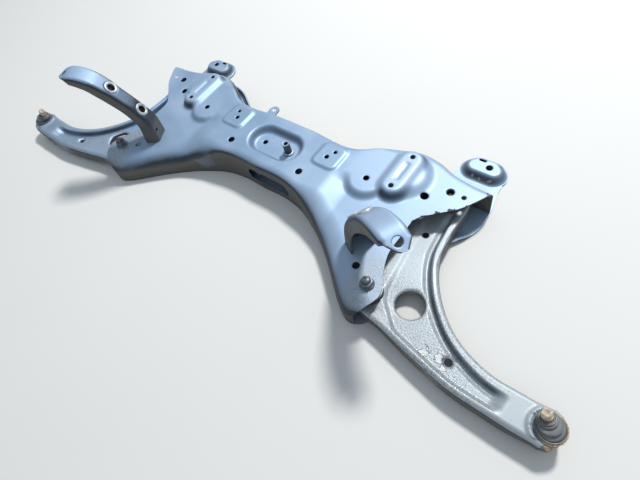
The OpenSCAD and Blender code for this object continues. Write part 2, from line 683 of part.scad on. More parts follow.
module rear_pivot_nut() {
    color(bare_steel) translate([rear_pivot_x, rear_pivot_y, rear_core_top]) difference() {
        hex(hex_af, hex_h);
        drill([0, 0], bolt_d + bolt_gap, -1, hex_h + 1);
    }
}

module at_ball() {
    translate([ball_x, ball_y, ball_z]) children();
}

module along_stud(share = 1) {
    at_ball() rotate([-stud_lean_back * share, -stud_lean_in * share, 0]) children();
}

module ball_housing() {
    inside = housing_r - housing_wall;
    color(rust) translate([ball_x, ball_y, 0]) rotate_extrude()
        polygon([[0, housing_low], [housing_r - 5, housing_low], [housing_r, housing_low + 5],
                 [housing_r, arm_rim_z], [housing_flange_r, arm_rim_z], [housing_flange_r, arm_rim_z + 2],
                 [housing_flange_r - 2, boot_foot_z], [housing_r - 1, boot_foot_z], [inside, arm_rim_z - 3],
                 [inside, seat_low], [0, seat_low]]);
}

module ball_seat() {
    r = housing_r - housing_wall;
    color(seat_white) at_ball() difference() {
        translate([0, 0, seat_low - ball_z]) cylinder(r = r, h = ball_z - seat_low + seat_over);
        sphere(r = ball_r + ball_gap);
    }
}

module ball_stud() {
    r = stud_d / 2;
    neck_r = r - 0.6;
    groove_r = r - 1.4;
    groove_z = stud_len - 13;
    color(rust) along_stud() {
        sphere(r = ball_r);
        rotate_extrude()
            polygon([[0, ball_r - 4], [neck_r, ball_r - 4], [neck_r, ball_r + 6], [r, ball_r + 12],
                     [r, groove_z - 4], [groove_r, groove_z - 2], [groove_r, groove_z + 2],
                     [r, groove_z + 4], [r, stud_len - 1.5], [r - 1.5, stud_len], [0, stud_len]]);
    }
}

// Rings of the boot: distance from the ball, outer radius, bead radius, share of the stud's lean
boot_foot_r = housing_r;
boot_rings = [[21, boot_foot_r - 1.7, 4, 0.2], [26, boot_foot_r - 2.6, 3.6, 0.45],
              [30.8, boot_foot_r - 4.7, 3, 0.85], [34.6, boot_foot_r - 6.9, 2.3, 1]];
boot_gap = 0.25;
boot_foot_h = 4;
boot_foot_inside = housing_r - 5.5;
boot_neck = [34, 39.4];
boot_neck_r = 9.6;
clip_wire = 0.9;
top_clip_z = 38.2;
foot_clip_z = 1.4;

module dust_boot() {
    color(rubber_black) difference() {
        union() {
            translate([ball_x, ball_y, boot_foot_z + 0.05]) difference() {
                cylinder(r = boot_foot_r, h = boot_foot_h);
                drill([0, 0], 2 * boot_foot_inside, -1, boot_foot_h + 1);
            }
            for (b = boot_rings) along_stud(b[3]) translate([0, 0, b[0]])
                rotate_extrude() translate([b[1] - b[2], 0]) circle(r = b[2], $fn = 40);
            along_stud() translate([0, 0, boot_neck[0]])
                cylinder(r = boot_neck_r, h = boot_neck[1] - boot_neck[0]);
        }
        along_stud() cylinder(r = stud_d / 2 + boot_gap, h = stud_len);
        drill([ball_x, ball_y], 3 * boot_foot_r, 0, boot_foot_z + 0.05);
    }
}

module boot_clips() {
    color(bare_steel) {
        translate([ball_x, ball_y, boot_foot_z + foot_clip_z]) rotate_extrude()
            translate([boot_foot_r + clip_wire, 0]) circle(r = clip_wire, $fn = 24);
        along_stud() translate([0, 0, top_clip_z]) rotate_extrude()
            translate([boot_neck_r + clip_wire, 0]) circle(r = clip_wire, $fn = 24);
    }
}

module side(s) {
    if (s > 0) children();
    else mirror([1, 0, 0]) children();
}

upper_shell();
lower_shell();
side(-1) horn();  // horn_left
side(1) horn();  // horn_right
side(-1) horn_sleeves();  // horn_sleeves_left
side(1) horn_sleeves();  // horn_sleeves_right
centre_sleeve();
rear_tab();
side(-1) rear_mount();  // rear_mount_left
side(1) rear_mount();  // rear_mount_right
rack_weld_nuts();
side(-1) control_arm();  // control_arm_left
side(1) control_arm();  // control_arm_right
side(-1) bush_shell(front_pivot);  // front_bush_shell_left
side(1) bush_shell(front_pivot);  // front_bush_shell_right
side(-1) bush_rubber(front_pivot);  // front_bush_rubber_left
side(1) bush_rubber(front_pivot);  // front_bush_rubber_right
side(-1) bush_core(front_pivot, front_core_top);  // front_bush_core_left
side(1) bush_core(front_pivot, front_core_top);  // front_bush_core_right
side(-1) bush_shell(rear_pivot);  // rear_bush_shell_left
side(1) bush_shell(rear_pivot);  // rear_bush_shell_right
side(-1) bush_rubber(rear_pivot);  // rear_bush_rubber_left
side(1) bush_rubber(rear_pivot);  // rear_bush_rubber_right
side(-1) bush_core(rear_pivot, rear_core_top);  // rear_bush_core_left
side(1) bush_core(rear_pivot, rear_core_top);  // rear_bush_core_right
side(-1) pivot_bolt(front_pivot, front_bolt_top);  // front_pivot_bolt_left
side(1) pivot_bolt(front_pivot, front_bolt_top);  // front_pivot_bolt_right
side(-1) front_pivot_nut();  // front_pivot_nut_left
side(1) front_pivot_nut();  // front_pivot_nut_right
side(-1) pivot_bolt(rear_pivot, rear_bolt_top);  // rear_pivot_bolt_left
side(1) pivot_bolt(rear_pivot, rear_bolt_top);  // rear_pivot_bolt_right
side(-1) rear_pivot_nut();  // rear_pivot_nut_left
side(1) rear_pivot_nut();  // rear_pivot_nut_right
side(-1) ball_housing();  // ball_housing_left
side(1) ball_housing();  // ball_housing_right
side(-1) ball_seat();  // ball_seat_left
side(1) ball_seat();  // ball_seat_right
side(-1) ball_stud();  // ball_stud_left
side(1) ball_stud();  // ball_stud_right
side(-1) dust_boot();  // dust_boot_left
side(1) dust_boot();  // dust_boot_right
side(-1) boot_clips();  // boot_clips_left
side(1) boot_clips();  // boot_clips_right
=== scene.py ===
import math

import bmesh
import bpy
import numpy as np
from mathutils import Matrix, Vector


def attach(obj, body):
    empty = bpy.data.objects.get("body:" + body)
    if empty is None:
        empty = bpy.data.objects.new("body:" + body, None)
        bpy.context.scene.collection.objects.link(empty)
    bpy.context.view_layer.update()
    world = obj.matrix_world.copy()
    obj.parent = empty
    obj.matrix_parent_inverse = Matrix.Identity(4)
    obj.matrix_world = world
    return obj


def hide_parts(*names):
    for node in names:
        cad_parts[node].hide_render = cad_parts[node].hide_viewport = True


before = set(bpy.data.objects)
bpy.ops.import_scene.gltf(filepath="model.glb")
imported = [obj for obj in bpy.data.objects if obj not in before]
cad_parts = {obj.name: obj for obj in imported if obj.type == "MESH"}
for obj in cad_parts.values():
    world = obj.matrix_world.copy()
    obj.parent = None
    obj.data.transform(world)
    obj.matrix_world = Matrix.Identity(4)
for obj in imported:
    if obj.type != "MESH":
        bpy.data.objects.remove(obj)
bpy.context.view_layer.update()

# Upper pressing: the top of the box section, drawn from one steel sheet, with plateaus, beads, pads and a
# recess formed in it and its front and rear walls folded down. Dipped in satin black chassis paint.
MM = 0.001
SHEET = 3.0
GROUND_LEVEL = SHEET
TOP_Z, PLATE_Z, TONGUE_Z, BEAD_Z = 77.0, 66.0, 64.0, 85.0
FRONT_BEND, FLARE_BEND, REAR_BEND = 13.0, 38.0, 16.0
FLARE_X = (95, 165)
FRONT_REACH = 1.15
FRONT_PIVOT = np.array([340.0, -177.0])
REAR_PIVOT = np.array([365.0, 51.0])
PIVOT_HOLE_R = 6.3
TIP = FRONT_PIVOT + [9, -64]
TIP_ROUND = 30.0
CORNER = REAR_PIVOT + [64, 36]
FRONT_EDGE = [(0, -79), (60, -78), (110, -87), (160, -110), (200, -135), (240, -165), (275, -195),
              (310, -223), tuple(TIP)]
REAR_EDGE = [(0, 59), (60, 58), (105, 54), (140, 54), (170, 62), (205, 84), (240, 105), (275, 114),
             (315, 109), (350, 96), (390, 89), tuple(CORNER)]
TONGUE_END = [(TIP[1], TIP[0]), (-219, 355), (-200, 364), (-185, 368), (-167, 363)]
PLATE_END = [(-141, 349), (-107, 338), (-60, 339), (-28, 342), (0, 368), (25, 394), (61, 417),
             (CORNER[1], CORNER[0])]
TONGUE_STEP_Y, SIDE_STEP_X = (-85, -40), (150, 205)
DISC_X, DISC_R, DISC_SLOPE = 220.0, 29.0, 17
BEAD_X, BEAD_R, BEAD_SLOPE, BEAD_INSET = 273.0, 15.0, 18, 5
SHOULDER, SHOULDER_FLAT, SHOULDER_FOOT = ((150, 30), (BEAD_X, 45)), 34, 60
RACK_Y, RACK_GAP = 2.0, 75.0
PAD_X, PAD_Y, PAD_HALF, PAD_CORNER, PAD_RISE, PAD_SLOPE = 127.0, 10.0, (28, 29), 13.0, 4.0, 4
RECESS_X, RECESS_Y, RECESS_DEPTH = 33.0, -11.0, 15.0
RECESS_HALF, RECESS_FLAT, RECESS_FOOT = 29, 23, 40
GROOVE_ENDS, GROOVE_FLAT, GROOVE_FOOT, GROOVE_DEPTH = (19, 56), 2, 6, 2.5
SLOT_X, SLOT_HALF, SLOT_R, SLOT_Z = 21.0, 40.0, 16.0, 32.0
ROLLED = ((2.4, 0.0), (1.3, 0.08), (0.5, 0.4), (0.0, 1.0))


def mix(a, b, t):
    return a + (b - a) * t


def smooth(low, high, t):
    s = np.clip((t - low) / (high - low), 0, 1)
    return s * s * (3 - 2 * s)


def hermite(p, q, m, n, t):
    return ((2 * t**3 - 3 * t**2 + 1) * p + (t**3 - 2 * t**2 + t) * m
            + (3 * t**2 - 2 * t**3) * q + (t**3 - t**2) * n)


def curve(knots, x):
    """Smooth curve through (x, y) knots."""
    k = np.asarray(knots, float)
    slope = np.empty(len(k))
    slope[1:-1] = (k[2:, 1] - k[:-2, 1]) / (k[2:, 0] - k[:-2, 0])
    slope[0] = (k[1, 1] - k[0, 1]) / (k[1, 0] - k[0, 0])
    slope[-1] = (k[-1, 1] - k[-2, 1]) / (k[-1, 0] - k[-2, 0])
    i = np.clip(np.searchsorted(k[:, 0], x, "right") - 1, 0, len(k) - 2)
    h = k[i + 1, 0] - k[i, 0]
    t = np.clip((x - k[i, 0]) / h, 0, 1)
    return hermite(k[i, 1], k[i + 1, 1], slope[i] * h, slope[i + 1] * h, t)


def from_line(x, y, a, b):
    """Distance of points from the stretch a to b."""
    a, b = np.asarray(a, float), np.asarray(b, float)
    d = b - a
    long = max(d @ d, 1e-9)
    t = np.clip(((x - a[0]) * d[0] + (y - a[1]) * d[1]) / long, 0, 1)
    return np.hypot(x - a[0] - t * d[0], y - a[1] - t * d[1])


def lobe(x, y, a, b, flat, foot):
    return 1 - smooth(flat, foot, from_line(x, y, a, b))


def rounded_box(x, y, half, r):
    qx, qy = np.abs(x) - half[0] + r, np.abs(y) - half[1] + r
    return np.hypot(np.maximum(qx, 0), np.maximum(qy, 0)) + np.minimum(np.maximum(qx, qy), 0) - r


def upper_z(x, y):
    x = np.abs(x)
    low = mix(TONGUE_Z, PLATE_Z, smooth(*TONGUE_STEP_Y, y))
    disc = lobe(x, y, (DISC_X, 0), (DISC_X, 0), DISC_R, DISC_R + DISC_SLOPE)
    shoulder = lobe(x, y, *SHOULDER, SHOULDER_FLAT, SHOULDER_FOOT)
    base = mix(low, TOP_Z, 1 - smooth(*SIDE_STEP_X, x) * (1 - disc) * (1 - shoulder))
    bead_ends = [(BEAD_X, RACK_Y + BEAD_INSET), (BEAD_X, RACK_Y + RACK_GAP - BEAD_INSET)]
    bead = lobe(x, y, *bead_ends, BEAD_R, BEAD_R + BEAD_SLOPE)
    groove = lobe(x, y, *[(BEAD_X, RACK_Y + end) for end in GROOVE_ENDS], GROOVE_FLAT, GROOVE_FOOT)
    pad = 1 - smooth(-PAD_SLOPE, PAD_SLOPE, rounded_box(x - PAD_X, y - PAD_Y, PAD_HALF, PAD_CORNER))
    dish = lobe(x, y, (0, RECESS_Y), (RECESS_HALF, RECESS_Y), RECESS_FLAT, RECESS_FOOT)
    return mix(base, BEAD_Z, bead) - GROOVE_DEPTH * groove + PAD_RISE * pad - RECESS_DEPTH * dish


def round_tip(a, w, depth):
    """Draws the plan in at the tip of the tongue, so that its corner is round."""
    reach_a, reach_w = TIP_ROUND / TIP[0], TIP_ROUND / depth
    p = np.clip((a - 1 + reach_a) / reach_a, 0, 1)
    q = np.clip(1 - w / reach_w, 0, 1)
    return a - reach_a * p * (1 - np.sqrt(1 - q * q / 2)), w + reach_w * q * (1 - np.sqrt(1 - p * p / 2))


def upper_plan(u, w):
    a, w = round_tip(np.abs(u), w, CORNER[1] - TIP[1])
    y = mix(curve(FRONT_EDGE, a * TIP[0]), curve(REAR_EDGE, a * CORNER[0]), w)
    return np.sign(u) * a * curve(TONGUE_END + PLATE_END, mix(TIP[1], CORNER[1], w)), y


def upper_grid(columns, wall_rows, bend_rows, top_rows):
    """Outer face of the pressing, from the foot of the front wall over the top to that of the rear wall."""
    u = np.linspace(-1, 1, columns)
    flare = mix(FRONT_BEND, FLARE_BEND, smooth(*FLARE_X, np.abs(u) * TIP[0]))
    depth = upper_plan(u, np.ones_like(u))[1] - upper_plan(u, np.zeros_like(u))[1]
    w_front, w_rear = flare * FRONT_REACH / depth, REAR_BEND / depth
    rows = []

    def row(w, drop):
        x, y = upper_plan(u, w)
        rows.append(np.stack([x, y, upper_z(x, y) - drop], 1))

    def wall(w, drop, steps):
        x, y = upper_plan(u, w)
        for t in steps:
            rows.append(np.stack([x, y, mix(GROUND_LEVEL, upper_z(x, y) - drop, t)], 1))

    up = np.arange(wall_rows) / wall_rows
    turn = np.linspace(0, math.pi / 2, bend_rows, endpoint=False)
    wall(np.zeros_like(u), flare, up)
    for q in turn:
        row(w_front * (1 - math.cos(q)), flare * (1 - math.sin(q)))
    for t in np.linspace(0, 1, top_rows):
        row(mix(w_front, 1 - w_rear, t), 0)
    for q in turn[::-1]:
        row(1 - w_rear * (1 - math.cos(q)), REAR_BEND * (1 - math.sin(q)))
    wall(np.ones_like(u), REAR_BEND, up[::-1])
    return np.stack(rows, 1)


def sheet_faces(n, m, closed=False):
    """Faces of a grid of n columns and m rows, seen from its outer side."""
    index = np.arange(n * m).reshape(n, m)
    following = np.roll(index, -1, 0) if closed else index[1:]
    index = index if closed else index[:-1]
    quads = np.stack([index[:, :-1], following[:, :-1], following[:, 1:], index[:, 1:]], -1)
    return quads.reshape(-1, 4)


def loop_round(a, b, r, count):
    """Points at distance r round the stretch a to b, anticlockwise."""
    a, b = np.asarray(a, float), np.asarray(b, float)
    lean = math.atan2(b[1] - a[1], b[0] - a[0])
    half = count // 2
    turn = np.linspace(-math.pi / 2, math.pi / 2, half, endpoint=bool(np.any(a != b)))
    ends = [(b, lean + turn), (a, lean + math.pi + turn)]
    return np.concatenate([c + r * np.stack([np.cos(q), np.sin(q)], 1) for c, q in ends])


def height_at(spots, known, span=6.0):
    """Heights of a sheet at flat spots, each from a curved fit to the nearest known points."""
    heights = []
    for spot in spots:
        x, y = (known[:, :2] - spot).T / span
        close = np.argsort(x * x + y * y)[:30]
        x, y, z = x[close], y[close], known[close, 2]
        weight = np.exp(-x * x - y * y) + 1e-6
        terms = np.stack([np.ones_like(x), x, y, x * x, x * y, y * y], 1)
        held = terms.T @ (terms * weight[:, None]) + np.diag([0, 1, 1, 1, 1, 1]) * 1e-4
        fit = np.linalg.solve(held, terms.T @ (z * weight))[0]
        heights.append(np.clip(fit, z.min() - 0.1, z.max() + 0.1))
    return np.array(heights)


class Sheet:
    """A formed sheet: a grid of points, with rolled holes let into it."""

    def __init__(self, grid, closed=False):
        self.points = grid.reshape(-1, 3)
        self.quads = sheet_faces(grid.shape[0], grid.shape[1], closed)
        self.grid_size = len(self.points)
        self.extra = []

    def hole(self, origin, r, rolls=ROLLED, reach=0.0, e1=(1, 0, 0), e2=(0, 1, 0), count=48, near=14.0):
        """Cuts a hole of radius r, drawn out by reach either way along e1, with its rim rolled in."""
        e1, e2 = np.asarray(e1, float), np.asarray(e2, float)
        axes = np.stack([e1, e2, np.cross(e1, e2)])
        local = (self.points - np.asarray(origin, float)) @ axes.T
        a, b = (-reach, 0), (reach, 0)
        away = from_line(local[:, 0], local[:, 1], a, b) - r
        level = np.abs(local[:, 2]) < near
        inside = (away < rolls[0][0] + 1.0) & level
        gone = inside[self.quads].any(1)
        edge = self.rim_of(self.quads[gone])
        self.quads = self.quads[~gone]
        around = np.flatnonzero((level & (away < rolls[0][0] + 9.0))[:self.grid_size])
        rings = []
        for out, drop in rolls:
            flat = loop_round(a, b, r + out, count)
            lift = height_at(flat, local[around]) - drop
            rings.append(len(self.points) + np.arange(count))
            here = np.column_stack([flat, lift]) @ axes + origin
            self.points = np.concatenate([self.points, here])
            local = np.concatenate([local, np.column_stack([flat, lift])])
        self.stitch(edge, rings[0].tolist(), local[:, :2])
        for outer, inner in zip(rings, rings[1:]):
            for k in range(count):
                n = (k + 1) % count
                self.extra.append((outer[k], outer[n], inner[n], inner[k]))

    def rim_of(self, quads):
        """Corners on the outline of a patch of faces, in order round it."""
        sides = {(f[k], f[(k + 1) % 4]) for f in quads.tolist() for k in range(4)}
        following = {i: j for i, j in sides if (j, i) not in sides}
        rim = [min(following)]
        while following[rim[-1]] != rim[0]:
            rim.append(following[rim[-1]])
        return rim

    def stitch(self, outer, inner, flat):
        """Triangles between two loops that run the same way: the shortest ties that fold nothing over."""
        apart = np.linalg.norm(flat[outer][:, None] - flat[inner][None], axis=2)
        i, j = np.unravel_index(np.argmin(apart), apart.shape)
        outer, inner = outer[i:] + outer[:i + 1], inner[j:] + inner[:j + 1]
        p, q = flat[outer][:, None], flat[inner][None]
        tie = np.linalg.norm(p - q, axis=2)

        def folded(u, v):
            return 1e3 * (u[..., 0] * v[..., 1] - u[..., 1] * v[..., 0] < 0.02)

        along_outer = tie[1:] + folded(p[1:] - p[:-1], q - p[:-1])
        along_inner = tie[:, 1:] + folded(q[:, 1:] - p, q[:, :-1] - p)
        cost = np.full(tie.shape, np.inf)
        cost[0, 0] = 0
        for a in range(len(outer)):
            for b in range(len(inner)):
                if a:
                    cost[a, b] = min(cost[a, b], cost[a - 1, b] + along_outer[a - 1, b])
                if b:
                    cost[a, b] = min(cost[a, b], cost[a, b - 1] + along_inner[a, b - 1])
        a, b = len(outer) - 1, len(inner) - 1
        while a or b:
            by_outer = cost[a - 1, b] + along_outer[a - 1, b] if a else np.inf
            by_inner = cost[a, b - 1] + along_inner[a, b - 1] if b else np.inf
            if by_outer <= by_inner:
                a -= 1
                self.extra.append((outer[a], outer[a + 1], inner[b]))
            else:
                b -= 1
                self.extra.append((outer[a], inner[b + 1], inner[b]))

    def mesh(self):
        """Points and faces, without the points that the holes left loose."""
        faces = self.quads.tolist() + [[int(i) for i in f] for f in self.extra]
        used = sorted({i for f in faces for i in f})
        place = {i: k for k, i in enumerate(used)}
        return self.points[used], [tuple(place[i] for i in f) for f in faces]


WELD_GAP, SHARP_EDGE, BROKEN_EDGE = 0.01, math.radians(50), math.radians(55)


def piece(name, points, faces, body, slot, look, *nodes):
    """A mesh piece in millimetres that rides on a body and stands for CAD nodes."""
    mesh = bpy.data.meshes.new(name)
    mesh.from_pydata((np.asarray(points, float) * MM).tolist(), [], [tuple(f) for f in faces])
    work = bmesh.new()
    work.from_mesh(mesh)
    bmesh.ops.remove_doubles(work, verts=work.verts, dist=WELD_GAP * MM)
    work.to_mesh(mesh)
    work.free()
    mesh.polygons.foreach_set("use_smooth", np.ones(len(mesh.polygons), bool))
    mesh.set_sharp_from_angle(angle=SHARP_EDGE)
    mesh.materials.append(look)
    made = bpy.data.objects.new(name, mesh)
    bpy.context.scene.collection.objects.link(made)
    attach(made, body)
    if nodes:
        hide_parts(*nodes)
    return made


def thicken(made, thickness, edge=0.5):
    """Gives a sheet its thickness behind the outer face, with its cut edges broken."""
    solid = made.modifiers.new("sheet thickness", "SOLIDIFY")
    solid.thickness = thickness * MM
    solid.offset = -1
    broken = made.modifiers.new("broken edges", "BEVEL")
    broken.width = edge * MM
    broken.segments = 2
    broken.limit_method = "ANGLE"
    broken.angle_limit = BROKEN_EDGE
    broken.harden_normals = True
    return made


def add(tree, kind, ins=(), **settings):
    """A shader node with its settings, its inputs set to values or linked to sockets."""
    made = tree.nodes.new(kind)
    for key, value in settings.items():
        setattr(made, key, value)
    for key, value in dict(ins).items():
        if isinstance(value, bpy.types.NodeSocket):
            tree.links.new(value, made.inputs[key])
        else:
            made.inputs[key].default_value = value
    return made


def blend(tree, share, a, b, how="MIX"):
    """A mix of two colours."""
    made = add(tree, "ShaderNodeMix", {0: share, 6: a, 7: b}, data_type="RGBA", blend_type=how)
    return made.outputs[2]


def maths(tree, how, a, b=0.0, clamp=False):
    return add(tree, "ShaderNodeMath", {0: a, 1: b}, operation=how, use_clamp=clamp).outputs[0]


def ramp(tree, value, low, high):
    """0 at low, 1 at high."""
    made = add(tree, "ShaderNodeMapRange", {0: value, 1: low, 2: high}, interpolation_type="SMOOTHSTEP")
    return made.outputs[0]


def times(tree, a, b, clamp=False):
    return maths(tree, "MULTIPLY", a, b, clamp)


def plus(tree, a, b):
    return maths(tree, "ADD", a, b)


def noise(tree, place, scale, detail, roughness=0.5):
    ins = {"Vector": place, "Scale": scale, "Detail": detail, "Roughness": roughness}
    return add(tree, "ShaderNodeTexNoise", ins).outputs[0]


def object_place(tree):
    return add(tree, "ShaderNodeTexCoord").outputs["Object"]


def facing_up(tree):
    """1 on a level face, 0 on an upright one."""
    normal = add(tree, "ShaderNodeNewGeometry").outputs["Normal"]
    return add(tree, "ShaderNodeSeparateXYZ", {0: normal}).outputs[2]


SOCKETS = {1: "NodeSocketFloat", 3: "NodeSocketVector", 4: "NodeSocketColor"}
SKIN = ("Colour", "Roughness", "Height")


def group(name, ins, outs):
    """An empty node group. The length of an input's value gives its kind; the output Colour is a colour."""
    tree = bpy.data.node_groups.new(name, "ShaderNodeTree")
    for label, value in ins.items():
        made = tree.interface.new_socket(name=label, in_out="INPUT", socket_type=SOCKETS[np.size(value)])
        made.default_value = value
    for label in outs:
        kind = SOCKETS[4 if label == "Colour" else 1]
        tree.interface.new_socket(name=label, in_out="OUTPUT", socket_type=kind)
    return tree, tree.nodes.new("NodeGroupInput").outputs, tree.nodes.new("NodeGroupOutput")


def material(name, metallic=0.0, coat=0.0):
    made = bpy.data.materials.new(name)
    made.use_nodes = True
    shader = made.node_tree.nodes["Principled BSDF"]
    shader.inputs["Metallic"].default_value = metallic
    shader.inputs["Coat Weight"].default_value = coat
    return made, made.node_tree, shader


def use(tree, shared, **ins):
    """One use of a shared node group."""
    named = {key.replace("_", " "): value for key, value in ins.items()}
    return add(tree, "ShaderNodeGroup", named, node_tree=shared).outputs


def finish_with(tree, shader, skin, bump, colour=None):
    """Feeds the colour, roughness and bump of a finish to a shader."""
    tree.links.new(skin["Colour"] if colour is None else colour, shader.inputs["Base Color"])
    tree.links.new(skin["Roughness"], shader.inputs["Roughness"])
    relief = add(tree, "ShaderNodeBump", {"Strength": 1.0, "Distance": bump * MM, "Height": skin["Height"]})
    tree.links.new(relief.outputs[0], shader.inputs["Normal"])


GRAIN_AND_GLINT_PALE, PIT_DARK, LIT_TONGUE_GREY = (0.62, 0.66, 0.70, 1), (0.09, 0.10, 0.12, 1), (0.45, 0.50, 0.54, 1)
DUST_PALE, PAINTED_SHADE_BLUE, PAINTED_SHADE_WARM = (0.55, 0.56, 0.56, 1), (0.032, 0.044, 0.066, 1), (0.105, 0.101, 0.094, 1)


def paint_group():
    """Dipped paint: cloudy sheen, fine grain, pale dust on faces that look up, and painted shade on steep
    faces, dark blue where they slope and warm grey where they stand upright. The grain is coarse round the
    front pivots and fades towards the balls."""
    tree, given, out = group(
        "dipped paint", {"Colour": (0.2, 0.26, 0.33, 1), "Dust": 0.3, "Grain": 0.3, "Grain size": 420.0,
                         "Gloss": 0.34, "Grime": 0.85, "Steep": 0.93}, (*SKIN, "Metal"))
    place = object_place(tree)
    cloud = noise(tree, place, 9.0, 5.0)
    grain = noise(tree, place, given["Grain size"], 3.0, 0.65)
    up = facing_up(tree)
    looking_up = times(tree, ramp(tree, up, 0.3, 0.98), ramp(tree, cloud, 0.38, 0.68))
    dusty = times(tree, looking_up, given["Dust"])
    shade = blend(tree, ramp(tree, cloud, 0.3, 0.7), (0.86, 0.87, 0.88, 1), (1.1, 1.1, 1.1, 1))
    base = blend(tree, 1.0, given["Colour"], shade, "MULTIPLY")
    x, y, z = add(tree, "ShaderNodeSeparateXYZ", {0: place}).outputs
    outboard = maths(tree, "ABSOLUTE", x)
    # Round the front pivots the coarse grain is the paint's own, and the neutral grey laid there is painted
    # light: the lit look of the tongue.
    pivots = times(tree, ramp(tree, y, -0.10, -0.14), ramp(tree, outboard, 0.29, 0.33))
    pivots = times(tree, pivots, ramp(tree, z, 0.09, 0.075))
    coarse = plus(tree, given["Grain"], times(tree, pivots, 0.75))
    coarse = times(tree, coarse, ramp(tree, outboard, 0.64, 0.52))
    # The pale grains are partly the paint's grain and partly painted glints of light on it.
    pale = times(tree, ramp(tree, grain, 0.52, 0.66), coarse)
    pit = times(tree, ramp(tree, grain, 0.46, 0.33), coarse)
    base = blend(tree, times(tree, pivots, 0.5), base, LIT_TONGUE_GREY)
    base = blend(tree, pale, base, GRAIN_AND_GLINT_PALE)
    base = blend(tree, times(tree, pit, 0.7), base, PIT_DARK)
    base = blend(tree, dusty, base, DUST_PALE)
    # Painted shade: steep faces are darkened towards a dark blue, upright ones towards a warm grey as if lit
    # from the floor; the same mask lowers the metal and raises the roughness.
    painted_shade = times(tree, ramp(tree, up, given["Steep"], 0.3), given["Grime"])
    painted_shade = times(tree, painted_shade, plus(tree, ramp(tree, cloud, 0.25, 0.6), 0.75), True)
    base = blend(tree, painted_shade, base, blend(tree, ramp(tree, up, 0.3, 0.02), PAINTED_SHADE_BLUE, PAINTED_SHADE_WARM))
    tree.links.new(maths(tree, "SUBTRACT", 0.5, times(tree, painted_shade, 0.5)), out.inputs["Metal"])
    tree.links.new(base, out.inputs["Colour"])
    rough = plus(tree, given["Gloss"], times(tree, cloud, 0.12))
    # Roughness rises with the dust and with the painted shade.
    worn = plus(tree, times(tree, dusty, 0.3), times(tree, painted_shade, 0.2))
    tree.links.new(plus(tree, rough, worn), out.inputs["Roughness"])
    tree.links.new(times(tree, grain, plus(tree, coarse, 0.1)), out.inputs["Height"])
    return tree


def flake_group():
    """A patch where paint has lifted off, with a ragged edge."""
    tree, given, out = group("paint flake", {"Centre": (0, 0, 0), "Radius": 0.01}, ("Mask", "Edge"))
    place = object_place(tree)
    ragged = noise(tree, place, 120.0, 4.0)
    away = add(tree, "ShaderNodeVectorMath", {0: place, 1: given["Centre"]}, operation="DISTANCE")
    reach = maths(tree, "DIVIDE", away.outputs["Value"], given["Radius"])
    worn = plus(tree, reach, times(tree, maths(tree, "SUBTRACT", ragged, 0.5), 4.2))
    mask = ramp(tree, worn, 0.95, 0.86)
    tree.links.new(mask, out.inputs["Mask"])
    tree.links.new(maths(tree, "SUBTRACT", ramp(tree, worn, 1.3, 1.1), mask, True), out.inputs["Edge"])
    return tree


PAINT = paint_group()
FLAKE = flake_group()
# The satin black paint is drawn as a light steel blue: painted reflection of the sky on it.
CHASSIS_SKY_BLUE = (0.40, 0.57, 0.80, 1)


def painted(name, clear, bump, edge, flakes, **values):
    """A painted sheet: the shared paint with its own values, and patches where it has lifted off."""
    made, tree, shader = material(name, coat=clear)
    coat = use(tree, PAINT, **values)
    colour = coat["Colour"]
    for centre, radius, bared in flakes:
        lifted = use(tree, FLAKE, Centre=[c * MM for c in centre], Radius=radius * MM)
        colour = blend(tree, lifted["Mask"], colour, bared)
        colour = blend(tree, times(tree, lifted["Edge"], edge[0]), colour, edge[1])
    tree.links.new(coat["Metal"], shader.inputs["Metallic"])
    finish_with(tree, shader, coat, bump, colour)
    return made


def chassis_paint(name, dust, grain, flakes=()):
    return painted(name, 0.15, 0.4, (1.0, (0.03, 0.03, 0.035, 1)), flakes, Colour=CHASSIS_SKY_BLUE, Dust=dust,
                   Grain=grain, Grain_size=520.0, Gloss=0.45)


BARE_AND_SHADOW_DARK, BARE_GREY = (0.05, 0.055, 0.065, 1), (0.34, 0.35, 0.36, 1)
# Dark flakes along the plate's front edge: chips in the paint, which also paint the shadow line of the plate
# edge on the arm.
PLATE_FLAKES = [((343, -36, 66), 4.5, BARE_AND_SHADOW_DARK), ((351, -20, 66), 4.5, BARE_AND_SHADOW_DARK),
                ((367, -2, 66), 4.0, BARE_AND_SHADOW_DARK), ((387, 17, 66), 4.5, BARE_AND_SHADOW_DARK),
                ((404, 36, 66), 3.5, BARE_AND_SHADOW_DARK), ((424, 80, 62), 5.0, BARE_GREY)]
upper_paint = chassis_paint("upper pressing paint", 0.22, 0.10, PLATE_FLAKES)
# Place and radius of each hole that both halves have.
UPPER_HOLES = [(DISC_X, 0, 5.75), (PAD_X - 3, 5, 4.5), (PAD_X + 6, 22, 3.75), (94, -49, 7.0),
               (BEAD_X, RACK_Y, 4.7), (BEAD_X, RACK_Y + RACK_GAP, 4.7), (330, 22, 7.3),
               (REAR_PIVOT[0], REAR_PIVOT[1], 7.3), (391, 51, 4.0), (304, -157, 6.5),
               (FRONT_PIVOT[0], FRONT_PIVOT[1], PIVOT_HOLE_R)]
upper = Sheet(upper_grid(263, 9, 10, 96))
for x, y, r in UPPER_HOLES:
    for side in (-1, 1):
        upper.hole((side * x, y, float(upper_z(np.array(x), np.array(y)))), r)
upper.hole((-RECESS_X, RECESS_Y, TOP_Z - RECESS_DEPTH), 5.5)
upper.hole((RECESS_X, RECESS_Y, TOP_Z - RECESS_DEPTH), 4.0)
upper.hole((-290, 10, float(upper_z(np.array(290.0), np.array(10.0)))), 2.6)
upper.hole((SLOT_X, FRONT_EDGE[0][1], SLOT_Z), SLOT_R, reach=SLOT_HALF, e1=(1, 0, 0), e2=(0, 0, 1), count=80)
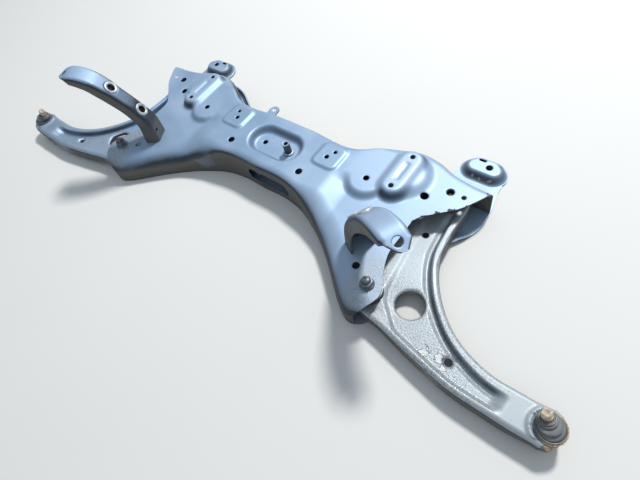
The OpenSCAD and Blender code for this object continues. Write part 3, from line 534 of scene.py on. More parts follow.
thicken(piece("upper_pressing", *upper.mesh(), "subframe", "chassis_paint", upper_paint,
              "upper_shell"), SHEET)

# Lower pressing: the floor of the box section, with raised seats for the bush cores, a rear rim turned up
# behind the upper wall and a tail under each rear mount. The same sheet and paint, spot-welded on.
SEAT_Z, SEAT_FLAT, SEAT_FOOT = 14.0, 13.5, 23.0
EDGE_LIP, REAR_LEDGE = 7.0, 6.0
EAR_JOIN_X, RIM_FADE_X = (298, 330), (285, 322)
EAR_HOLE, TAIL_HOLE_R = np.array([385.0, 169.0]), 7.25
RIM_FOLD, RIM_HEIGHT, RIM_ANGLE = 9.0, 16.0, 84.0
EAR_REAR = [(300, 112), (322, 120), (337, 157), (354, 175), (385, 179), (409, 164), (421, 134)]
FLOOR_END = [(-140, 356), (-110, 360), (-60, 376), (-18, 398), (0, 409), (16, 419), (44, 429), (87, 430),
             (134, 421)]


def floor_rear(x):
    main = curve(REAR_EDGE, np.minimum(x, CORNER[0])) + REAR_LEDGE
    return mix(main, curve(EAR_REAR, x), smooth(*EAR_JOIN_X, x))


def floor_point(u, w):
    a, w = round_tip(np.abs(u), w, EAR_REAR[-1][1] - TIP[1])
    x = np.sign(u) * a * curve(TONGUE_END + FLOOR_END, mix(TIP[1], EAR_REAR[-1][1], w))
    y = mix(curve(FRONT_EDGE, a * TIP[0]), floor_rear(a * EAR_REAR[-1][0]), w)
    lip = EDGE_LIP * smooth(0.97, 1, a) * smooth(-60, -20, y) * (1 - smooth(0, 30, y))
    z = SHEET + lip
    for p in (FRONT_PIVOT, REAR_PIVOT):
        seat = 1 - smooth(SEAT_FLAT - 1, SEAT_FOOT + 1, np.hypot(np.abs(x) - p[0], y - p[1]))
        z = z + (SEAT_Z - SHEET) * seat
    return np.stack([x, y, z], 1)


def floor_grid(rows, fold_rows):
    u = np.concatenate([np.linspace(-1, -0.95, 10), np.linspace(-0.95, 0.95, 190)[1:-1],
                        np.linspace(0.95, 1, 10)])
    lines = [floor_point(u, np.full_like(u, w)) for w in np.linspace(0, 1, rows)]
    foot = lines[-1]
    bend = np.radians(RIM_ANGLE) * (1 - smooth(*RIM_FADE_X, np.abs(foot[:, 0])))
    r = RIM_FOLD / np.maximum(bend, 0.01)
    for t in np.linspace(0, 1, fold_rows)[1:]:
        q = bend * t
        flat = bend < 0.02
        out = np.where(flat, RIM_FOLD * t, r * np.sin(q))
        rise = np.where(flat, 0, r * (1 - np.cos(q)))
        lines.append(foot + np.stack([0 * out, out, rise], 1))
    rest = RIM_HEIGHT - RIM_FOLD
    lines.append(lines[-1] + np.stack([0 * bend, rest * np.cos(bend), rest * np.sin(bend)], 1))
    return np.stack(lines, 1)


lower_paint = chassis_paint("lower pressing paint", 0.35, 0.14)
lower = Sheet(floor_grid(110, 9))
for side in (-1, 1):
    for p in (FRONT_PIVOT, REAR_PIVOT):
        lower.hole((side * p[0], p[1], SEAT_Z), PIVOT_HOLE_R)
    lower.hole((side * EAR_HOLE[0], EAR_HOLE[1], SHEET), TAIL_HOLE_R)
thicken(piece("lower_pressing", *lower.mesh(), "subframe", "chassis_paint", lower_paint,
              "lower_shell"), SHEET)

# Rear mounts: a domed cap pressed from sheet sits over each tail of the floor and takes a body bolt.
# Welded round its foot; the paint has lifted in flakes along its front step.
EAR_CORNERS = np.array([(358, 166), (395, 166), (388, 172), (364, 172)], float)
EAR_FOOT, EAR_TOP_Z = 28.0, 20.0
EAR_HOLE_R = 6.25
EAR_TUBE_R = 10.25
EAR_RIM_OUT, EAR_RIM_DROP = (0, 0.5, 1.3), (1.0, 0.4, 0.08)


def ear_distance(x, y):
    """Distance outside the middle of the cap, which is a slim four-sided outline."""
    c = EAR_CORNERS
    around = np.min([from_line(x, y, c[k], c[(k + 1) % 4]) for k in range(4)], axis=0)
    sides = [(c[(k + 1) % 4] - c[k])[0] * (y - c[k][1]) - (c[(k + 1) % 4] - c[k])[1] * (x - c[k][0])
             for k in range(4)]
    return np.where(np.min(sides, axis=0) > 0, 0, around)


def round_turn(steps):
    return np.linspace(0, 2 * math.pi, steps, endpoint=False)


def ear_grid(spokes, rings):
    """Rings from the bolt hole out to the foot of the cap."""
    columns = []
    for q in -round_turn(spokes):
        way = np.array([math.cos(q), math.sin(q)])
        reach = np.linspace(0, 90, 361)
        line = EAR_HOLE + reach[:, None] * way
        end = reach[np.argmax(ear_distance(line[:, 0], line[:, 1]) >= EAR_FOOT)]
        out = np.concatenate([EAR_RIM_OUT, np.linspace(2.6, end - EAR_HOLE_R, rings)]) + EAR_HOLE_R
        p = EAR_HOLE + out[:, None] * way
        z = EAR_TOP_Z - (EAR_TOP_Z - SHEET) * smooth(11, EAR_FOOT, ear_distance(p[:, 0], p[:, 1]))
        z[:3] -= EAR_RIM_DROP
        columns.append(np.column_stack([p, z])[::-1])
    return np.stack(columns[::-1])


def across_axis(axis):
    """Two directions square to an axis and to each other."""
    e1 = np.cross((0, 1, 0), axis)
    e1 /= np.linalg.norm(e1)
    return e1, np.cross(axis, e1)


def revolve(profile, steps=64, origin=(0, 0, 0), axis=(0, 0, 1)):
    """A turned piece: (radius, height) points swept round an axis."""
    axis = np.asarray(axis, float) / np.linalg.norm(axis)
    e1, e2 = across_axis(axis)
    q = round_turn(steps)
    r, h = np.maximum(np.asarray(profile, float).T, [[0.02], [-1e9]])
    ring = np.cos(q)[:, None, None] * e1 + np.sin(q)[:, None, None] * e2
    points = np.asarray(origin, float) + ring * r[None, :, None] + h[None, :, None] * axis
    return points.reshape(-1, 3), sheet_faces(steps, len(r), closed=True).tolist()


def joined(*parts):
    """Several meshes as one list of points and faces."""
    points, faces = [], []
    for p, f in parts:
        base = sum(len(x) for x in points)
        points.append(np.asarray(p))
        faces += [tuple(int(i) + base for i in face) for face in f]
    return np.concatenate(points), faces


def mirrored(points, faces):
    """The same piece on the left side."""
    return np.asarray(points) * [-1, 1, 1], [tuple(reversed(f)) for f in faces]


def each_side(*parts):
    """The parts mirrored for the left side, then as they are for the right."""
    yield ("left", *[mirrored(*part) for part in parts])
    yield ("right", *parts)


EAR_FLAKES = [((362, 147, 10), 3.0, BARE_GREY), ((378, 145, 9), 3.5, BARE_GREY),
              ((397, 146, 9), 4.0, BARE_GREY), ((352, 186, 17), 3.0, BARE_GREY)]
ear_paint = chassis_paint("rear mount paint", 0.3, 0.12, EAR_FLAKES)
ear = Sheet(ear_grid(144, 34), closed=True)
ear.hole((366, 181, EAR_TOP_Z), 3.0, reach=4.0, count=32)
ear_tube = revolve([(EAR_TUBE_R, 16.5), (EAR_TUBE_R, SHEET), (EAR_HOLE_R, SHEET), (EAR_HOLE_R, 18.4)][::-1],
                   48, (EAR_HOLE[0], EAR_HOLE[1], 0))
for side, cap, tube in each_side(ear.mesh(), ear_tube):
    thicken(piece("rear_mount_cap_" + side, *cap, "subframe", "chassis_paint", ear_paint,
                  "rear_mount_" + side), SHEET)
    piece("rear_mount_spacer_" + side, *tube, "subframe", "chassis_paint", ear_paint)

# Horns: a curved channel pressed from sheet rises from each tongue and leans outwards, with a bolt hole in
# its rounded tip. Two plain steel sleeves stand through it, their pale collars showing on the web.
HORN_FOOT = np.array([297.0, -116.0])
HORN_TURN = math.radians(-28.8)
HORN_ROUTE = np.array([(-28, TONGUE_Z), (-28, 110), (-9, 151), (17, 187), (34, 207), (60, 228), (97, 240),
                       (131, 230)], float)
HORN_SHIFT = (-7, 7)
HORN_BEND, HORN_SHEET = 9.0, 3.0
HORN_DEPTH = [(0, 32), (0.3, 27.5), (0.6, 26), (0.87, 18), (1, 11)]
HORN_HALF = [(0, 23), (0.3, 18), (0.6, 21.5), (0.87, 22.5), (1, 21)]
HORN_CUT, HORN_CUT_FROM = 11.0, 0.88
HORN_NOTCH, HORN_FLANGE_ENDS, HORN_LIPS = (0.905, 0.925), (0.9, 0.96), (3.0, 5.0)
HORN_NOSE, HORN_NOSE_LONG, HORN_HEEL, HORN_HEEL_LONG, HORN_HEEL_TAPER = 0.93, 0.0715, 0.945, 0.055, 0.6
HORN_HOLE_S, HORN_HOLE_R = 0.94, 7.5
HORN_SMALL_S, HORN_SMALL_V, HORN_SMALL_R = 0.075, -9.0, 4.0
SLEEVE_S = (0.243, 0.495)
SLEEVE_R, SLEEVE_BORE, SLEEVE_DROP, SLEEVE_COLLAR = 13.5, 7.25, 20.0, 2.0


def route(points, s):
    """A smooth line through evenly counted points."""
    p = np.asarray(points, float)
    n = len(p) - 1
    i = min(n - 1, int(s * n))
    m = (p[i + 1] - p[max(0, i - 1)]) / (1 if i == 0 else 2)
    e = (p[min(n, i + 2)] - p[i]) / (1 if i == n - 1 else 2)
    return hermite(p[i], p[i + 1], m, e, s * n - i)


def horn_way(s):
    """Direction of the horn's line in its upright plane."""
    d = np.array([0.0, 1.0]) if s <= 0 else route(HORN_ROUTE, min(1, s + 0.01)) - route(HORN_ROUTE, s - 0.01)
    return d / np.linalg.norm(d)


def from_horn_plane(p):
    """Points along, across and up in the horn's plane, put in the frame."""
    c, s = math.cos(HORN_TURN), math.sin(HORN_TURN)
    p = np.asarray(p, float)
    x = HORN_FOOT[0] + c * p[..., 0] - s * p[..., 1]
    y = HORN_FOOT[1] + s * p[..., 0] + c * p[..., 1]
    return np.stack([x, y, p[..., 2]], -1)


def horn_line(half_front, half_rear, depth_front, depth_rear):
    """Outer line of the channel from the foot of its front flange over the web to the rear one."""
    arc = np.linspace(0, math.pi / 2, 9)
    drop = np.linspace(1, 0, 7)[:-1]

    def flank(half, depth):
        bend = min(HORN_BEND, depth - 0.2)
        straight = np.stack([0 * drop + half, -mix(bend, depth, drop)], 1)
        turned = np.stack([half - bend + bend * np.cos(arc), bend * np.sin(arc) - bend], 1)
        return np.concatenate([straight, turned])

    front, rear = flank(half_front, depth_front) * [-1, 1], flank(half_rear, depth_rear)
    across = np.linspace(0, 1, 20)[1:-1, None]
    return np.concatenate([front, mix(front[-1], rear[-1], across), rear[::-1]])


def horn_grid(steps):
    columns = []
    for s in np.linspace(0, 1, steps):
        p, d = route(HORN_ROUTE, s), horn_way(s)
        n = np.array([-d[1], d[0]])
        half, depth = curve(HORN_HALF, s), curve(HORN_DEPTH, s)
        ended, notched = smooth(*HORN_FLANGE_ENDS, s), smooth(*HORN_NOTCH, s)
        past = max(0.0, (s - HORN_NOSE) / HORN_NOSE_LONG)
        front = (half - HORN_CUT * smooth(HORN_CUT_FROM, 1, s)) * (1 - past**3)**(1 / 3)
        rear = half * (1 - HORN_HEEL_TAPER * max(0.0, (s - HORN_HEEL) / HORN_HEEL_LONG))
        line = horn_line(front, rear, mix(depth, HORN_LIPS[0], notched), mix(depth, HORN_LIPS[1], ended))
        mid = mix(*HORN_SHIFT, s)
        columns.append(np.stack([p[0] + n[0] * line[:, 1], mid + line[:, 0], p[1] + n[1] * line[:, 1]], 1))
    return from_horn_plane(np.stack(columns))


def horn_web(s, across=0.0):
    """Place and axes of a spot on the web: origin, along, across, out."""
    p, d = route(HORN_ROUTE, s), horn_way(s)
    origin = from_horn_plane((p[0], mix(*HORN_SHIFT, s) + across, p[1]))
    zero = from_horn_plane((0, 0, 0))
    along = from_horn_plane((d[0], 0, d[1])) - zero
    over = from_horn_plane((0, 1, 0)) - zero
    return origin, along, over, np.cross(along, over)


def steel_group():
    """Dull zinc plating: patchy grey with fine scratches and some rust freckles."""
    tree, given, out = group("dull plating", {"Colour": (0.5, 0.5, 0.5, 1), "Rust": 0.2}, SKIN)
    place = object_place(tree)
    patch, fine = noise(tree, place, 130.0, 5.0), noise(tree, place, 900.0, 2.0)
    tone = blend(tree, ramp(tree, patch, 0.3, 0.7), (0.7, 0.7, 0.69, 1), (1.15, 1.15, 1.17, 1))
    base = blend(tree, 1.0, given["Colour"], tone, "MULTIPLY")
    freckle = times(tree, ramp(tree, patch, 0.56, 0.68), given["Rust"])
    tree.links.new(blend(tree, freckle, base, (0.20, 0.085, 0.035, 1)), out.inputs["Colour"])
    tree.links.new(plus(tree, times(tree, patch, 0.3), 0.3), out.inputs["Roughness"])
    tree.links.new(fine, out.inputs["Height"])
    return tree


PLATING = steel_group()


def plated(name, colour, rust, metallic=0.7):
    made, tree, shader = material(name, metallic=metallic)
    skin = use(tree, PLATING, Colour=colour, Rust=rust)
    finish_with(tree, shader, skin, 0.06)
    return made


horn_paint = chassis_paint("horn paint", 0.2, 0.10)
sleeve_steel = plated("horn sleeve steel", (0.60, 0.64, 0.68, 1), 0.05, 0.5)
horn = Sheet(horn_grid(110))
SLEEVE_SEAT, HORN_NEAR = ((1.6, 0), (0.6, 0.3), (0.05, 0.8)), 2.2
horn_holes = [(HORN_HOLE_S, 0.0, HORN_HOLE_R, ROLLED)]
horn_holes += [(s, 0.0, SLEEVE_R, SLEEVE_SEAT) for s in SLEEVE_S]
horn_holes += [(HORN_SMALL_S, HORN_SMALL_V, HORN_SMALL_R, ROLLED)]
for s, across, r, rolls in horn_holes:
    place, along, over, _ = horn_web(s, across)
    horn.hole(place, r, rolls=rolls, e1=along, e2=over, near=HORN_NEAR)
sleeve_profile = [(SLEEVE_BORE, -SLEEVE_DROP), (SLEEVE_R, -SLEEVE_DROP), (SLEEVE_R, SLEEVE_COLLAR - 0.8),
                  (SLEEVE_R - 0.8, SLEEVE_COLLAR), (SLEEVE_BORE + 2.4, SLEEVE_COLLAR),
                  (SLEEVE_BORE + 0.4, SLEEVE_COLLAR - 1.4), (SLEEVE_BORE, SLEEVE_COLLAR - 2.4),
                  (SLEEVE_BORE, -SLEEVE_DROP)]
BORE_ROW = 5
# The bores of the sleeves are near black: painted shade inside the holes.
sleeve_bore_shade = plated("horn sleeve bore", (0.05, 0.05, 0.055, 1), 0.3, 0.2)
sleeves = joined(*[revolve(sleeve_profile, 64, horn_web(s)[0], horn_web(s)[3]) for s in SLEEVE_S])
for side, channel, tubes in each_side(horn.mesh(), sleeves):
    thicken(piece("horn_channel_" + side, *channel, "subframe", "chassis_paint", horn_paint, "horn_" + side),
            HORN_SHEET)
    made = piece("horn_collars_" + side, *tubes, "subframe", "plated_steel", sleeve_steel,
                 "horn_sleeves_" + side)
    made.data.materials.append(sleeve_bore_shade)
    for k, face in enumerate(made.data.polygons):
        face.material_index = int(k % (len(sleeve_profile) - 1) >= BORE_ROW)

# Centre sleeve: a flanged turned spacer stands in the recess, right of the middle, and a bracket bolts on it.
# Painted with the pressings.
CENTRE_PROFILE = [(4.0, 0), (11.5, 0), (11.5, 1.8), (10.8, 2.5), (8.2, 2.6), (7.5, 3.4), (7.5, 23.6),
                  (8.4, 26.2), (7.8, 27), (5.2, 27), (4.0, 25.8), (4.0, 0)]
centre_paint = chassis_paint("centre sleeve paint", 0.25, 0.1)
piece("centre_spacer", *revolve(CENTRE_PROFILE, 64, (RECESS_X, RECESS_Y, TOP_Z - RECESS_DEPTH + 0.1)),
      "subframe", "chassis_paint", centre_paint, "centre_sleeve")

# Rear tab: a small bent bracket welded to the rear wall, left of the middle only, with a hole for a clip.
# Cut from the same sheet.
TAB_X, TAB_Z, TAB_W, TAB_REACH, TAB_FOOT, TAB_BEND = -98.0, 40.0, 24.0, 46.0, 14.0, 5.0
TAB_HOLE_R = 4.5
tab_y = float(curve(REAR_EDGE, -TAB_X)) + 0.3
tab_rise = float(curve(REAR_EDGE, -TAB_X - TAB_W / 2) - curve(REAR_EDGE, -TAB_X + TAB_W / 2))
tab_turn = math.atan2(tab_rise, TAB_W)


def tab_grid(columns):
    """From the foot on the wall, round the bend and out to the rounded end."""
    lines = []
    for v in np.linspace(-1, 1, columns):
        x = v * TAB_W / 2
        end = TAB_REACH - TAB_W / 2 + TAB_W / 2 * math.sqrt(max(0.0, 1 - v * v))
        q = np.linspace(0, math.pi / 2, 7)
        foot = [(0.0, z) for z in np.linspace(-TAB_FOOT, -TAB_BEND, 5)[:-1]]
        bend = [(TAB_BEND * (1 - math.cos(a)), TAB_BEND * (math.sin(a) - 1)) for a in q]
        out = [(y, 0.0) for y in np.linspace(TAB_BEND, end, 16)[1:]]
        lines.append([(x, y, z) for y, z in foot + bend + out])
    c, s = math.cos(tab_turn), math.sin(tab_turn)
    p = np.array(lines)
    return np.stack([TAB_X + c * p[..., 0] - s * p[..., 1], tab_y + s * p[..., 0] + c * p[..., 1],
                     TAB_Z + p[..., 2]], -1)


tab_paint = chassis_paint("rear tab paint", 0.2, 0.1)
tab = Sheet(tab_grid(33))
tab_out = TAB_REACH - TAB_W / 2
tab.hole((TAB_X - math.sin(tab_turn) * tab_out, tab_y + math.cos(tab_turn) * tab_out, TAB_Z), TAB_HOLE_R,
         near=4.0, count=32)
thicken(piece("clip_tab", *tab.mesh(), "subframe", "chassis_paint", tab_paint, "rear_tab"), SHEET)

# Control arms: a sickle-shaped pressing with turned-down flanges, a sunken web and a rolled bead along its
# hollow edge. Its paint is grainy and has lifted in flakes beside the small hole.
ARM_SHEET, ARM_RIM_Z, ARM_WEB, ARM_EDGE_Z, ARM_TUCK, ARM_BEND = 3.5, 40.0, 10.0, 11.0, 11.0, 9.0
BALL = np.array([661.0, -217.0, 25.0])
HOUSING_R = 18.5
ARM_FRONT = np.array([(313, -207), (342, -214), (388, -221), (430, -230), (480, -240), (530, -248),
                      (585, -249), (630, -250), (658, -253)], float)
ARM_REAR = np.array([(336, 83), (396, 73), (403, -10), (412, -66), (446, -123), (497, -168), (560, -191),
                     (620, -191), (658, -184)], float)
ARM_END_BEND, ARM_TIP_RISE = 5.0, 13.0
FLANK_DOWN, FLANK_TURN = 5, 8
ARM_TIP_BULGE, ARM_TIP_NARROW = HOUSING_R, 0.14
ARM_RIDGE = [(-260, 428), (-212, 406), (-195, 388), (-170, 364), (-124, 354), (-43, 346), (60, 340)]
ARM_WEB_END = 603.0
DISH_RISE = 3.2
ARM_ROLL, ARM_BEAD, ARM_GROOVE = 8.0, (10.5, 14.0), 4.0
BUSH_R, EYE_WALL, PIVOT_Z, BUSH_HALF = 23.0, 3.0, 35.0, 15.0
ARM_LIGHT_HOLE, ARM_SMALL_HOLE = ((409, -158, 30), 24.5), ((506, -208, 30), 6.6)
ARM_INNER_HOLE = ((362, -29, 35), 6.0)
SMALL_LIP = ((6.0, 0), (4.4, 0.5), (2.6, 1.5), (1.0, 2.8), (0.0, 4.5))
FLAT_LIP = ((3.0, 0), (1.5, 0.05), (0.05, 0.1))
LIP = ((7.0, 0.0), (4.6, 0.35), (2.6, 1.2), (1.1, 2.8), (0.25, 5.0), (0.0, 10.0))


def square_to(edge, s, across):
    """Share of a step along the line across the arm that leads straight away from one of its edges."""
    d = route(edge, min(1, s + 0.01)) - route(edge, max(0, s - 0.01))
    return max(0.25, abs(d[0] * across[1] - d[1] * across[0]) / np.linalg.norm(d))


def arm_grid(steps, rows):
    """Outer face of an arm: lines from its front flange over the web and the bead to its rear flange."""
    columns = []
    turn = np.linspace(0, math.pi / 2, FLANK_TURN + 1)
    hollow = np.array([route(ARM_REAR, s) for s in np.linspace(0, 1, 600)])
    for s in np.linspace(0, 1, steps):
        front, rear = route(ARM_FRONT, s), route(ARM_REAR, s)
        width = np.linalg.norm(rear - front)
        across = (rear - front) / width
        bulge = ARM_TIP_BULGE * smooth(0.86, 1, s) * 4
        spread = 1 - ARM_TIP_NARROW * smooth(0.8, 1, s)
        bead = mix(*ARM_BEAD, smooth(0.5, 0.85, s))
        bend = ARM_BEND / square_to(ARM_FRONT, s, across) / width
        roll = ARM_ROLL / square_to(ARM_REAR, s, across) / width
        low = mix(ARM_EDGE_Z + ARM_TUCK, ARM_EDGE_Z, smooth(0.24, 0.45, s))
        low += ARM_TIP_RISE * smooth(0.78, 1, s)

        def at(t):
            return mix(front, rear, 0.5 + (t - 0.5) * spread) + [bulge * t * (1 - t), 0]

        def flank(t, reach, height):
            down = [(*at(t), z) for z in np.linspace(low, ARM_RIM_Z - height, FLANK_DOWN + 1)[:-1]]
            over = [(*at(t + reach * (1 - math.cos(q))), ARM_RIM_Z - height * (1 - math.sin(q)))
                    for q in turn[:-1]]
            return down + over

        top = []
        for t in np.linspace(bend, 1 - roll, rows):
            p = at(t)
            inset = np.min(np.hypot(*(hollow - p).T)) - bead
            inboard = mix(0.3, 0.72, smooth(-190, -100, p[1]))
            ends = (1 - smooth(ARM_WEB_END - 26, ARM_WEB_END, p[0])) * (1 - smooth(0, 40, p[1]))
            sunk = (smooth(9, 20, t * width) * smooth(0, 9, inset) * ends
                    * mix(inboard, 1, smooth(-2, 10, p[0] - curve(ARM_RIDGE, p[1]))))
            groove = smooth(0, 9, inset) * (1 - smooth(9, 19, inset)) * ends
            away = math.hypot(p[0] - BALL[0], p[1] - BALL[1])
            collar = smooth(22.8, 25.5, away) * (1 - smooth(27, 33, away)) * (1 - smooth(640, 672, p[0]))
            top.append((p[0], p[1], ARM_RIM_Z - ARM_WEB * sunk - ARM_GROOVE * groove + DISH_RISE * collar))
        columns.append(flank(0, bend, ARM_BEND) + top + flank(1, -roll, ARM_ROLL)[::-1])
    return np.concatenate([columns, arm_end(np.array(columns[-1]))])


def arm_end(last):
    """Columns that turn the outer end of the arm down to the level of its flanges, with rounded corners."""
    along = np.gradient(last[:, :2], axis=0)
    out = np.stack([along[:, 1], -along[:, 0]], 1)
    out /= np.maximum(np.linalg.norm(out, axis=1), 1e-6)[:, None]
    turned = [(math.sin(q), ARM_END_BEND * (1 - math.cos(q))) for q in np.linspace(0, math.pi / 2, 7)[1:]]
    turned += [(1.0, drop) for drop in np.linspace(ARM_END_BEND, ARM_RIM_Z - last[0, 2], 6)[1:]]
    columns = [last]
    for reach, drop in turned:
        z = np.minimum(last[:, 2], ARM_RIM_Z - drop)
        columns.append(np.column_stack([last[:, :2] + out * reach * ARM_END_BEND, z]))
    grid = np.array(columns)
    for corner in (grid, grid[:, ::-1]):
        fan_corner(corner, FLANK_DOWN + FLANK_TURN)
    return grid[1:]


def fan_corner(grid, count):
    """Closes the corner between a flank and the turned-down end: a fan between their two side lines."""
    side, end = grid[0, count::-1].copy(), grid[:, count].copy()
    for k in range(1, len(grid)):
        for j in range(count):
            a, b = k / (len(grid) - 1), (count - j) / count
            share = math.atan2(a, b) / (math.pi / 2)
            grid[k, j] = mix(along_line(side, max(a, b)), along_line(end, max(a, b)), share)


def along_line(line, share):
    place = share * (len(line) - 1)
    return np.array([np.interp(place, np.arange(len(line)), line[:, c]) for c in range(3)])


# The arms take the painted shade on their steeper faces as well.
def arm_paint(name, tint, dust, grain, flakes):
    return painted(name, 0.1, 0.5, (0.7, (0.09, 0.09, 0.10, 1)), flakes, Colour=tint, Dust=dust, Grain=grain,
                   Grain_size=430.0, Gloss=0.44, Grime=0.7, Steep=0.62)


PRIMER, BARE_RUST = (0.60, 0.62, 0.63, 1), (0.52, 0.40, 0.25, 1)
ARM_FLAKES = [((469, -213, 30), 8.0, PRIMER), ((491, -213, 30), 7.0, PRIMER), ((503, -222, 30), 4.0, PRIMER),
              ((668, -243, 36), 4.5, BARE_RUST), ((676, -236, 36), 4.5, BARE_RUST)]
# One paint in two copies: the left arm is tinted bluer as painted reflection of the sky, the right one a more
# neutral grey as painted sun glare.
arm_coats = {"left": arm_paint("left arm paint", (0.32, 0.53, 0.82, 1), 0.12, 0.15, []),
             "right": arm_paint("right arm paint", (0.46, 0.53, 0.58, 1), 0.25, 0.5, ARM_FLAKES)}
arm = Sheet(arm_grid(150, 64))
arm.hole(*ARM_LIGHT_HOLE, rolls=LIP, count=72)
arm.hole(*ARM_SMALL_HOLE, rolls=SMALL_LIP)
arm.hole(*ARM_INNER_HOLE)
arm.hole((BALL[0], BALL[1], ARM_RIM_Z), HOUSING_R, rolls=FLAT_LIP, count=72)
eye_out, bore_out = BUSH_R + EYE_WALL, BUSH_R + EYE_WALL / 2
eye_profile = [(BUSH_R, -BUSH_HALF), (eye_out - 0.6, -BUSH_HALF), (eye_out, -BUSH_HALF + 0.6),
               (eye_out, BUSH_HALF - 0.6), (eye_out - 0.6, BUSH_HALF), (BUSH_R, BUSH_HALF),
               (BUSH_R, -BUSH_HALF)]
bore_profile = [(0, -40), (bore_out, -40), (bore_out, 40), (0, 40)]
eyes, bores = [joined(*[revolve(line, 72, (*p, PIVOT_Z)) for p in (FRONT_PIVOT, REAR_PIVOT)])
               for line in (eye_profile, bore_profile)]


def cutter(name, points, faces):
    """A hidden form that is cut out of a piece."""
    mesh = bpy.data.meshes.new(name)
    mesh.from_pydata((points * MM).tolist(), [], faces)
    return bpy.data.objects.new(name, mesh)


for side, pressing, rings, cut in each_side(arm.mesh(), eyes, bores):
    body = "arm_" + side
    made = thicken(piece("arm_pressing_" + side, *pressing, body, "arm_paint", arm_coats[side],
                         "control_arm_" + side), ARM_SHEET)
    hole = made.modifiers.new("bush bores", "BOOLEAN")
    hole.object = cutter("bush bores " + side, *cut)
    hole.operation = "DIFFERENCE"
    piece("arm_bush_eyes_" + side, *rings, body, "arm_paint", arm_coats[side])

# Bushes: a plated shell pressed into each eye, rubber bonded in it, and a plain core clamped by the bolt.
# The shells and cores are turned tube, the rubber is moulded.
def rubber_group():
    """Moulded rubber: near black with grey bloom, and paler grey on what looks up."""
    tree, given, out = group("moulded rubber", {"Colour": (0.05, 0.05, 0.055, 1), "Bloom": 0.4}, SKIN)
    place = object_place(tree)
    cloud, fine = noise(tree, place, 70.0, 6.0), noise(tree, place, 1100.0, 2.0)
    bloom = times(tree, ramp(tree, cloud, 0.4, 0.68), given["Bloom"])
    looking_up = times(tree, times(tree, ramp(tree, facing_up(tree), 0.45, 0.95), given["Bloom"]), 0.5)
    base = blend(tree, bloom, given["Colour"], (0.20, 0.21, 0.22, 1))
    tree.links.new(blend(tree, looking_up, base, (0.36, 0.38, 0.40, 1)), out.inputs["Colour"])
    tree.links.new(plus(tree, times(tree, cloud, 0.25), 0.42), out.inputs["Roughness"])
    tree.links.new(fine, out.inputs["Height"])
    return tree


RUBBER = rubber_group()


def moulded(name, colour, bloom, bump):
    made, tree, shader = material(name)
    finish_with(tree, shader, use(tree, RUBBER, Colour=colour, Bloom=bloom), bump)
    return made


def dress(node, look):
    """Gives a CAD piece that keeps its form its finish."""
    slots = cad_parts[node].data.materials
    slots.clear()
    slots.append(look)


rubber_dark = moulded("bush rubber", (0.03, 0.03, 0.033, 1), 0.3, 0.1)
bush_steel = plated("bush steel", (0.38, 0.39, 0.40, 1), 0.35)
for side in ("left", "right"):
    for end in ("front", "rear"):
        for part, look in (("shell", bush_steel), ("rubber", rubber_dark), ("core", bush_steel)):
            dress(f"{end}_bush_{part}_{side}", look)

# Pivot bolts and nuts: a long hexagon-headed bolt comes up through each bush. The front one ends in a flanged
# nut on the tongue, with its thread showing; the rear nut is welded inside. Plated, with a little rust.
BOLT_R, PITCH, HEX, HEX_H = 6.0, 1.75, 19.0, 9.5
HEAD_Z = SEAT_Z - SHEET
REAR_NUT_Z = PLATE_Z - SHEET - HEX_H
FRONT_BOLT_TOP, REAR_BOLT_TOP = TONGUE_Z + HEX_H + 8, REAR_NUT_Z + HEX_H / 2


def thread(r, low, high, steps=40):
    """A threaded rod with a chamfered end."""
    z = np.arange(low, high, PITCH / 6)
    q = round_turn(steps)
    wave = np.abs(((z[None, :] / PITCH - q[:, None] / (2 * math.pi)) % 1.0) - 0.5) * 2
    radius = np.minimum(r - 1.0 * (1 - wave), r - 1.6 + np.maximum(0, high - z[None, :]) * 1.2)
    radius[:, -1] = 0.02
    points = np.stack([radius * np.cos(q)[:, None], radius * np.sin(q)[:, None],
                       np.broadcast_to(np.minimum(z, high), radius.shape)], -1)
    points[:, -1, 2] = points[:, -2, 2]
    return points.reshape(-1, 3), sheet_faces(steps, len(z), closed=True).tolist()


def hexagon(flats, low, high, bore, chamfer_top=True, chamfer_foot=False, steps=96):
    """A hexagon with its corners turned off, and a bore through it."""
    q = round_turn(steps)
    edge = flats / 2 / np.cos((q + math.pi / 6) % (math.pi / 3) - math.pi / 6)
    over = np.maximum(0, edge - flats / 2 * 0.96) * math.tan(math.radians(30))
    top, foot = over * chamfer_top, over * chamfer_foot
    flat = np.full(steps, flats / 2 * 0.95)
    hole = np.full(steps, bore)
    level = np.zeros(steps)
    lines = [(hole, low + level), (flat, low + level), (edge, low + foot), (edge, high - top),
             (flat, high + level), (hole + 0.8, high + level), (hole, high - 0.8 + level),
             (hole, low + level)]
    points = np.stack([np.stack([r * np.cos(q), r * np.sin(q), z], 1) for r, z in lines], 1)
    return points.reshape(-1, 3), sheet_faces(steps, len(lines), closed=True).tolist()


def bolt(top):
    shank = revolve([(BOLT_R, HEAD_Z), (BOLT_R, top - 30)], 48)
    head = hexagon(HEX, HEAD_Z - HEX_H, HEAD_Z, 0.05, False, True)
    return joined(head, shank, thread(BOLT_R, top - 30, top))


def moved(part, x, y, z=0.0):
    return part[0] + np.array([x, y, z]), part[1]


bolt_steel = plated("pivot bolt steel", (0.22, 0.25, 0.29, 1), 0.4)
